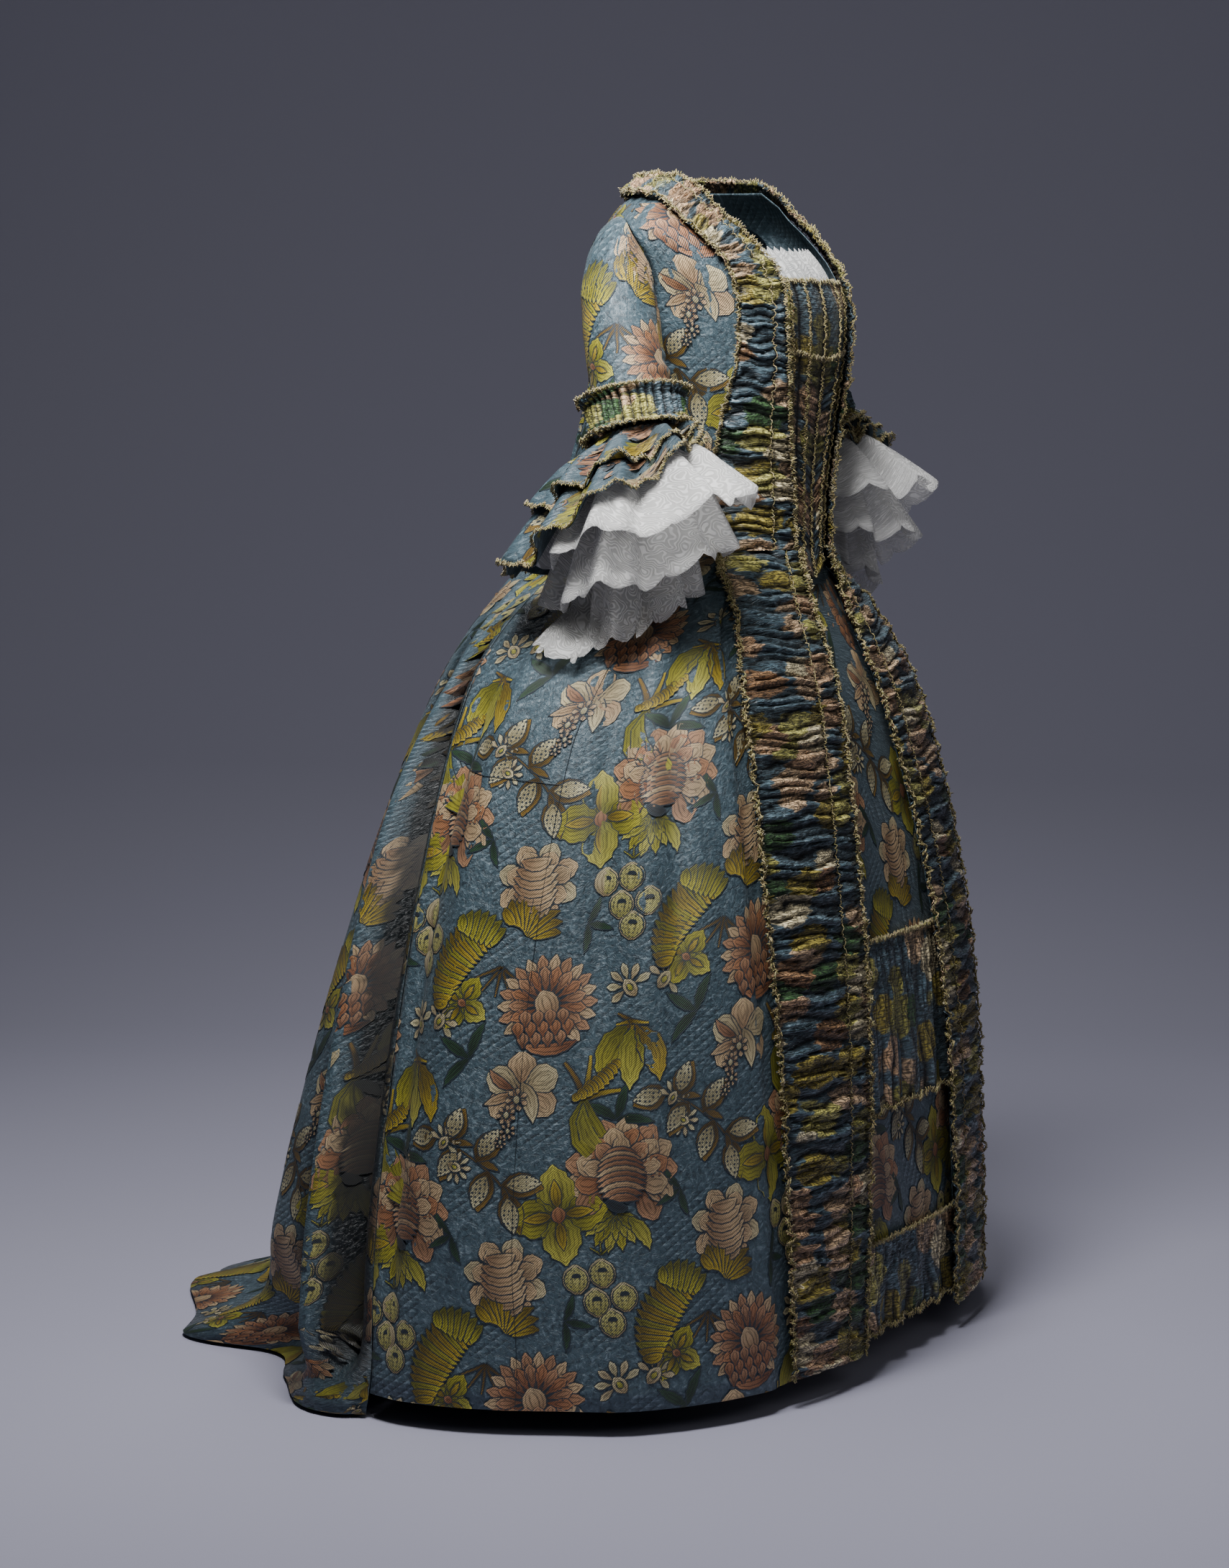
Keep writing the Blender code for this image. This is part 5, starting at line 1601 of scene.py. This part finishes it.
for name, rows, size in (("furbelow_silk", 20, FURBELOW), ("hem_ruffle_silk", 14, HEM_RUFFLE)):
    sew(name, 240, rows, furbelow(size), gathered, grow=-1, puff=furbelow_puff(size), pin=0.5)

# %% [markdown]
# ## Fly fringe
# Every edge is finished with fly fringe: a narrow braid of floss silk in cream, ochre and green whose
# loops stand up in all directions. Each loop could be a mesh of its own, but there are thousands. A
# bevelled curve is simpler. It runs along the edge and jumps from side to side at each step, so it
# fills a ragged strip some 8 mm wide, as crinkled floss does.

# %% Finish: floss silk
SKEINS = 190.0             # changes of colour to a metre: every 5 mm
floss, tree, shader = new_finish("floss_silk_fringe")
coordinates = add(tree, "ShaderNodeTexCoord").outputs["Object"]
skeins = add(tree, "ShaderNodeTexNoise", {
    "Vector": coordinates, "Scale": SKEINS, "Detail": 2.0, "Roughness": 0.7})
mixed = add(tree, "ShaderNodeValToRGB", {"Fac": skeins.outputs["Fac"]}, (
    (0.30, "#3f351c"), (0.40, "#7d6c3e"), (0.48, "#b5a477"),
    (0.56, "#77752f"), (0.63, "#c6b98f"), (0.72, "#96603a")))
tree.links.new(mixed.outputs["Color"], shader.inputs["Base Color"])
shader.inputs["Roughness"].default_value = 0.75
shader.inputs["Sheen Weight"].default_value = 0.2

# %% A braid along an edge
STEP = 0.0021              # metres between the turns of the floss
BRAID_LIFT, LOOP_HEIGHT = 0.0008, 0.0036   # of the braid off the cloth, and of its loops off the braid


def edge(name, across=None, down=None):
    """The points along a cloth at one share of its width or of its length, and which way is out."""
    cloth = CLOTHS[name]
    grid, facing = cloth["grid"], cloth["facing"]
    if across is not None:
        column = round(across * (len(grid) - 1))
        spots, out = grid[column], facing[column]
    else:
        row = round(down * (grid.shape[1] - 1))
        spots, out = grid[:, row], facing[:, row]
    return spots + out * (cloth["surface"] + BRAID_LIFT), out


def braid(name, wearer, edges, width=0.0036, thickness=0.00085, strands=2):
    """Floss silk that zigzags along each edge."""
    skein = new_cord(name, thickness, floss)
    skein.use_fill_caps = True
    dice = np.random.default_rng(len(name))
    for spots, out in edges:
        length = arc_lengths(np.linalg.norm(np.diff(spots, axis=0), axis=-1), 0)
        at = np.arange(0, length[-1], STEP)
        line = np.stack([np.interp(at, length, spots[:, axis]) for axis in range(3)], axis=1)
        rises = unit(np.stack([np.interp(at, length, out[:, axis]) for axis in range(3)], axis=1))
        sideways = unit(np.cross(np.gradient(line, axis=0), rises))
        for strand in range(strands):
            flip = np.where((np.arange(len(at)) + strand) % 2, 1.0, -1.0)
            swing = flip * width * dice.uniform(0.35, 1.15, len(at))
            stand = dice.uniform(0.0, LOOP_HEIGHT, len(at))
            lay_cord(skein, line + sideways * swing[:, None] + rises * stand[:, None])
    put_on(name, skein, wearer)
    print(name, "has", len(skein.splines), "strands")


# %% Fringe on the right side and down the middle
THREAD = {"width": 0.0014, "thickness": 0.0006, "strands": 1}
for border, line in (("skirt_border_right", 0.27), ("bodice_border_right", 0.30)):
    braid(f"{border}_fringe", border, [edge(border, across=0.015), edge(border, across=0.985)])
    braid(f"{border}_thread", border, [edge(border, across=line)], **THREAD)
cuff_edges = [edge("cuff_right_silk", down=0.03), edge("cuff_right_silk", down=0.97)]
braid("cuff_right_fringe", "cuff_right_silk", cuff_edges, width=0.0024)
for name in ("upper_flounce", "lower_flounce"):
    braid(f"{name}_right_fringe", f"{name}_right_silk", [edge(f"{name}_right_silk", down=0.98)])
bands = [edge("stomacher_silk", across=share) for share in (0.17, 0.335, 0.5, 0.665, 0.83)]
bands += [edge("stomacher_silk", down=0.004), edge("stomacher_silk", down=PLAIN_PART)]
braid("stomacher_fringe", "stomacher_silk", bands)
for name in ("furbelow", "hem_ruffle"):
    braid(f"{name}_fringe", f"{name}_silk",
          [edge(f"{name}_silk", down=0.01), edge(f"{name}_silk", down=0.985)])

# %% [markdown]
# ## The left side, and what each cloth stands for
# A gown is cut in pairs, so the left is the right turned over, with its faces turned back to point out.
# Each fine cloth then takes the place of its solid, which is hidden.

PAIRS = {
    "skirt_panel_right": ("skirt_{}", "hung", ["petticoat_silk"]),
    "bodice_right_silk": ("bodice_{}", "stretched", ["stomacher_silk"]),
    "sleeve_right_silk": ("sleeve_{}", "hung", ["bodice_{}_silk"]),
    "skirt_border_right": ("skirt_robing_{}", "gathered", ["skirt_panel_{}"]),
    "bodice_border_right": ("robing_{}", "gathered", ["bodice_{}_silk"]),
    "cuff_right_silk": ("cuff_{}", "gathered", ["sleeve_{}_silk"]),
}
for name in RUFFLES:
    cloth = "silk" if name.endswith("flounce") else "muslin"
    PAIRS[f"{name}_right_{cloth}"] = (name + "_{}", "gathered", ["cuff_{}_silk"])
SACK_NODES = "sack_back_right sack_back_left"
PETTICOAT_NODES = "petticoat_front petticoat_side_right petticoat_side_left"
PETTICOAT_NODES += " petticoat_back_right petticoat_back_left"
BODICE_PIECES = ["bodice_right_silk", "bodice_left_silk"]
SINGLES = {
    "sack_back_silk": (SACK_NODES, "hung", BODICE_PIECES),
    "petticoat_silk": (PETTICOAT_NODES, "hung", BODICE_PIECES),
    "stomacher_silk": ("stomacher", "stretched", BODICE_PIECES),
    "tucker_muslin": ("tucker_frill", "gathered", ["stomacher_silk"]),
    "furbelow_silk": ("furbelow", "gathered", ["petticoat_silk"]),
    "hem_ruffle_silk": ("hem_ruffle", "gathered", ["petticoat_silk"]),
}


def settle(node):
    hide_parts(*node.split())


for name, (node, held, rests_on) in PAIRS.items():
    piece = bpy.data.objects[name]
    left = turned_over(piece, name.replace("right", "left"))
    left_trims = [turned_over(trim, trim.name.replace("right", "left")) for trim in TRIMS[name]]
    settle(node.format("right"))
    settle(node.format("left"))
for name, (node, held, rests_on) in SINGLES.items():
    settle(node)
bpy.data.meshes.remove(repeat_mesh)

# %% [markdown]
# ## The studio
# A dark figured silk needs a soft light close by to show its relief. The key hangs above and a little to
# the left of the camera's line, so the sleeve and bodice are brightest and the hem falls away. The fill
# on the other side and the light overhead stay weak, which keeps the folds deep, and a light behind
# shows the sack. The floor and the wall are one pale sweep, so that nothing competes with the pattern.

# %% Camera
# It stands 4.9 m away at the height of the elbow, to the wearer's right of their front, and looks
# slightly down.
AZIMUTH, DISTANCE, EYE_HEIGHT = -65.0, 4.93, 1.20
TILT, YAW = 5.88, 1.44
FOCAL_LENGTH, FILM_HEIGHT = 91.9, 36.0
turn = math.radians(AZIMUTH)
ahead = Vector((-math.sin(turn), math.cos(turn), 0))
right = Vector((ahead.y, -ahead.x, 0))
place = -ahead * DISTANCE + Vector((0, 0, EYE_HEIGHT - HOLD_HEIGHT))
look = ahead * math.cos(math.radians(YAW)) - right * math.sin(math.radians(YAW))
side = right * math.cos(math.radians(YAW)) + ahead * math.sin(math.radians(YAW))
look = look * math.cos(math.radians(TILT)) - Vector((0, 0, math.sin(math.radians(TILT))))
above = side.cross(look)
lens = bpy.data.cameras.new("studio_camera")
lens.sensor_fit, lens.sensor_height, lens.lens = "VERTICAL", FILM_HEIGHT, FOCAL_LENGTH
camera = bpy.data.objects.new("studio_camera", lens)
camera.matrix_world = Matrix((side, above, -look)).transposed().to_4x4()
camera.location = place
bpy.context.scene.collection.objects.link(camera)
bpy.context.scene.camera = camera
print("camera at", [round(value, 3) for value in place])

# %% Floor and backdrop
SWEEP_START, SWEEP_RADIUS = 2.2, 2.8       # metres behind the gown where it starts to rise
SWEEP_LENGTH, SWEEP_NEAR, SWEEP_WIDTH, SWEEP_STEPS = 20, 7, 44, 90


def sweep(name):
    """A floor that curves up into a wall behind the gown, seen from the camera."""
    paper = bmesh.new()
    bmesh.ops.create_grid(paper, x_segments=2, y_segments=SWEEP_STEPS, size=0.5)
    for vert in paper.verts:
        along = SWEEP_LENGTH * (vert.co.y + 0.5) - SWEEP_NEAR
        bend = min(max((along - SWEEP_START) / SWEEP_RADIUS, 0), math.pi / 2)
        back = min(along, SWEEP_START) + SWEEP_RADIUS * math.sin(bend)
        up = SWEEP_RADIUS * (1 - math.cos(bend)) + max(along - SWEEP_START - SWEEP_RADIUS * math.pi / 2, 0)
        vert.co = ahead * back + right * vert.co.x * SWEEP_WIDTH + Vector((0, 0, up - HOLD_HEIGHT))
    mesh = bpy.data.meshes.new(name)
    paper.to_mesh(mesh)
    paper.free()
    mesh.shade_smooth()
    piece = bpy.data.objects.new(name, mesh)
    bpy.context.scene.collection.objects.link(piece)
    return piece


floor = sweep("studio_floor")
pale_paper, tree, shader = new_finish("pale_studio_paper")
shader.inputs["Base Color"].default_value = dye("#a8a7ba")
shader.inputs["Roughness"].default_value = 0.9
# The paper is clear from behind, so that it never hides the gown's back.
behind = add(tree, "ShaderNodeNewGeometry").outputs["Backfacing"]
clear = add(tree, "ShaderNodeBsdfTransparent").outputs[0]
one_sided = add(tree, "ShaderNodeMixShader", {0: behind, 1: shader.outputs[0], 2: clear})
tree.links.new(one_sided.outputs[0], tree.nodes["Material Output"].inputs["Surface"])
floor.data.materials.append(pale_paper)

# %% Lights
def softbox(name, spot, aim, size, watts):
    lamp = bpy.data.lights.new(name, "AREA")
    lamp.shape, lamp.size, lamp.energy = "DISK", size, watts
    box = bpy.data.objects.new(name, lamp)
    box.location = spot
    box.rotation_euler = (Vector(aim) - Vector(spot)).to_track_quat("-Z", "Y").to_euler()
    bpy.context.scene.collection.objects.link(box)


middle = Vector((0, 0.1, -0.45))
softbox("key", place * 0.19 - right * 0.22 + Vector((0, 0, 0.88)), middle + Vector((0, 0, 0.25)), 0.7, 51)
softbox("fill", place * 0.5 + right * 1.8 + Vector((0, 0, 1.2)), middle, 2.0, 8)
softbox("top", Vector((0, 0.3, 1.8)), middle, 1.2, 8)
softbox("back", ahead * 2.2 + Vector((0, 0, 1.0)), middle, 1.6, 16)
AIR_STRENGTH = 0.06
sky = bpy.data.worlds.new("studio_air")
sky.use_nodes = True
sky.node_tree.nodes["Background"].inputs["Color"].default_value = dye("#c3c6cd")
sky.node_tree.nodes["Background"].inputs["Strength"].default_value = AIR_STRENGTH
bpy.context.scene.world = sky
print("lights:", [lamp.name for lamp in bpy.data.lights])
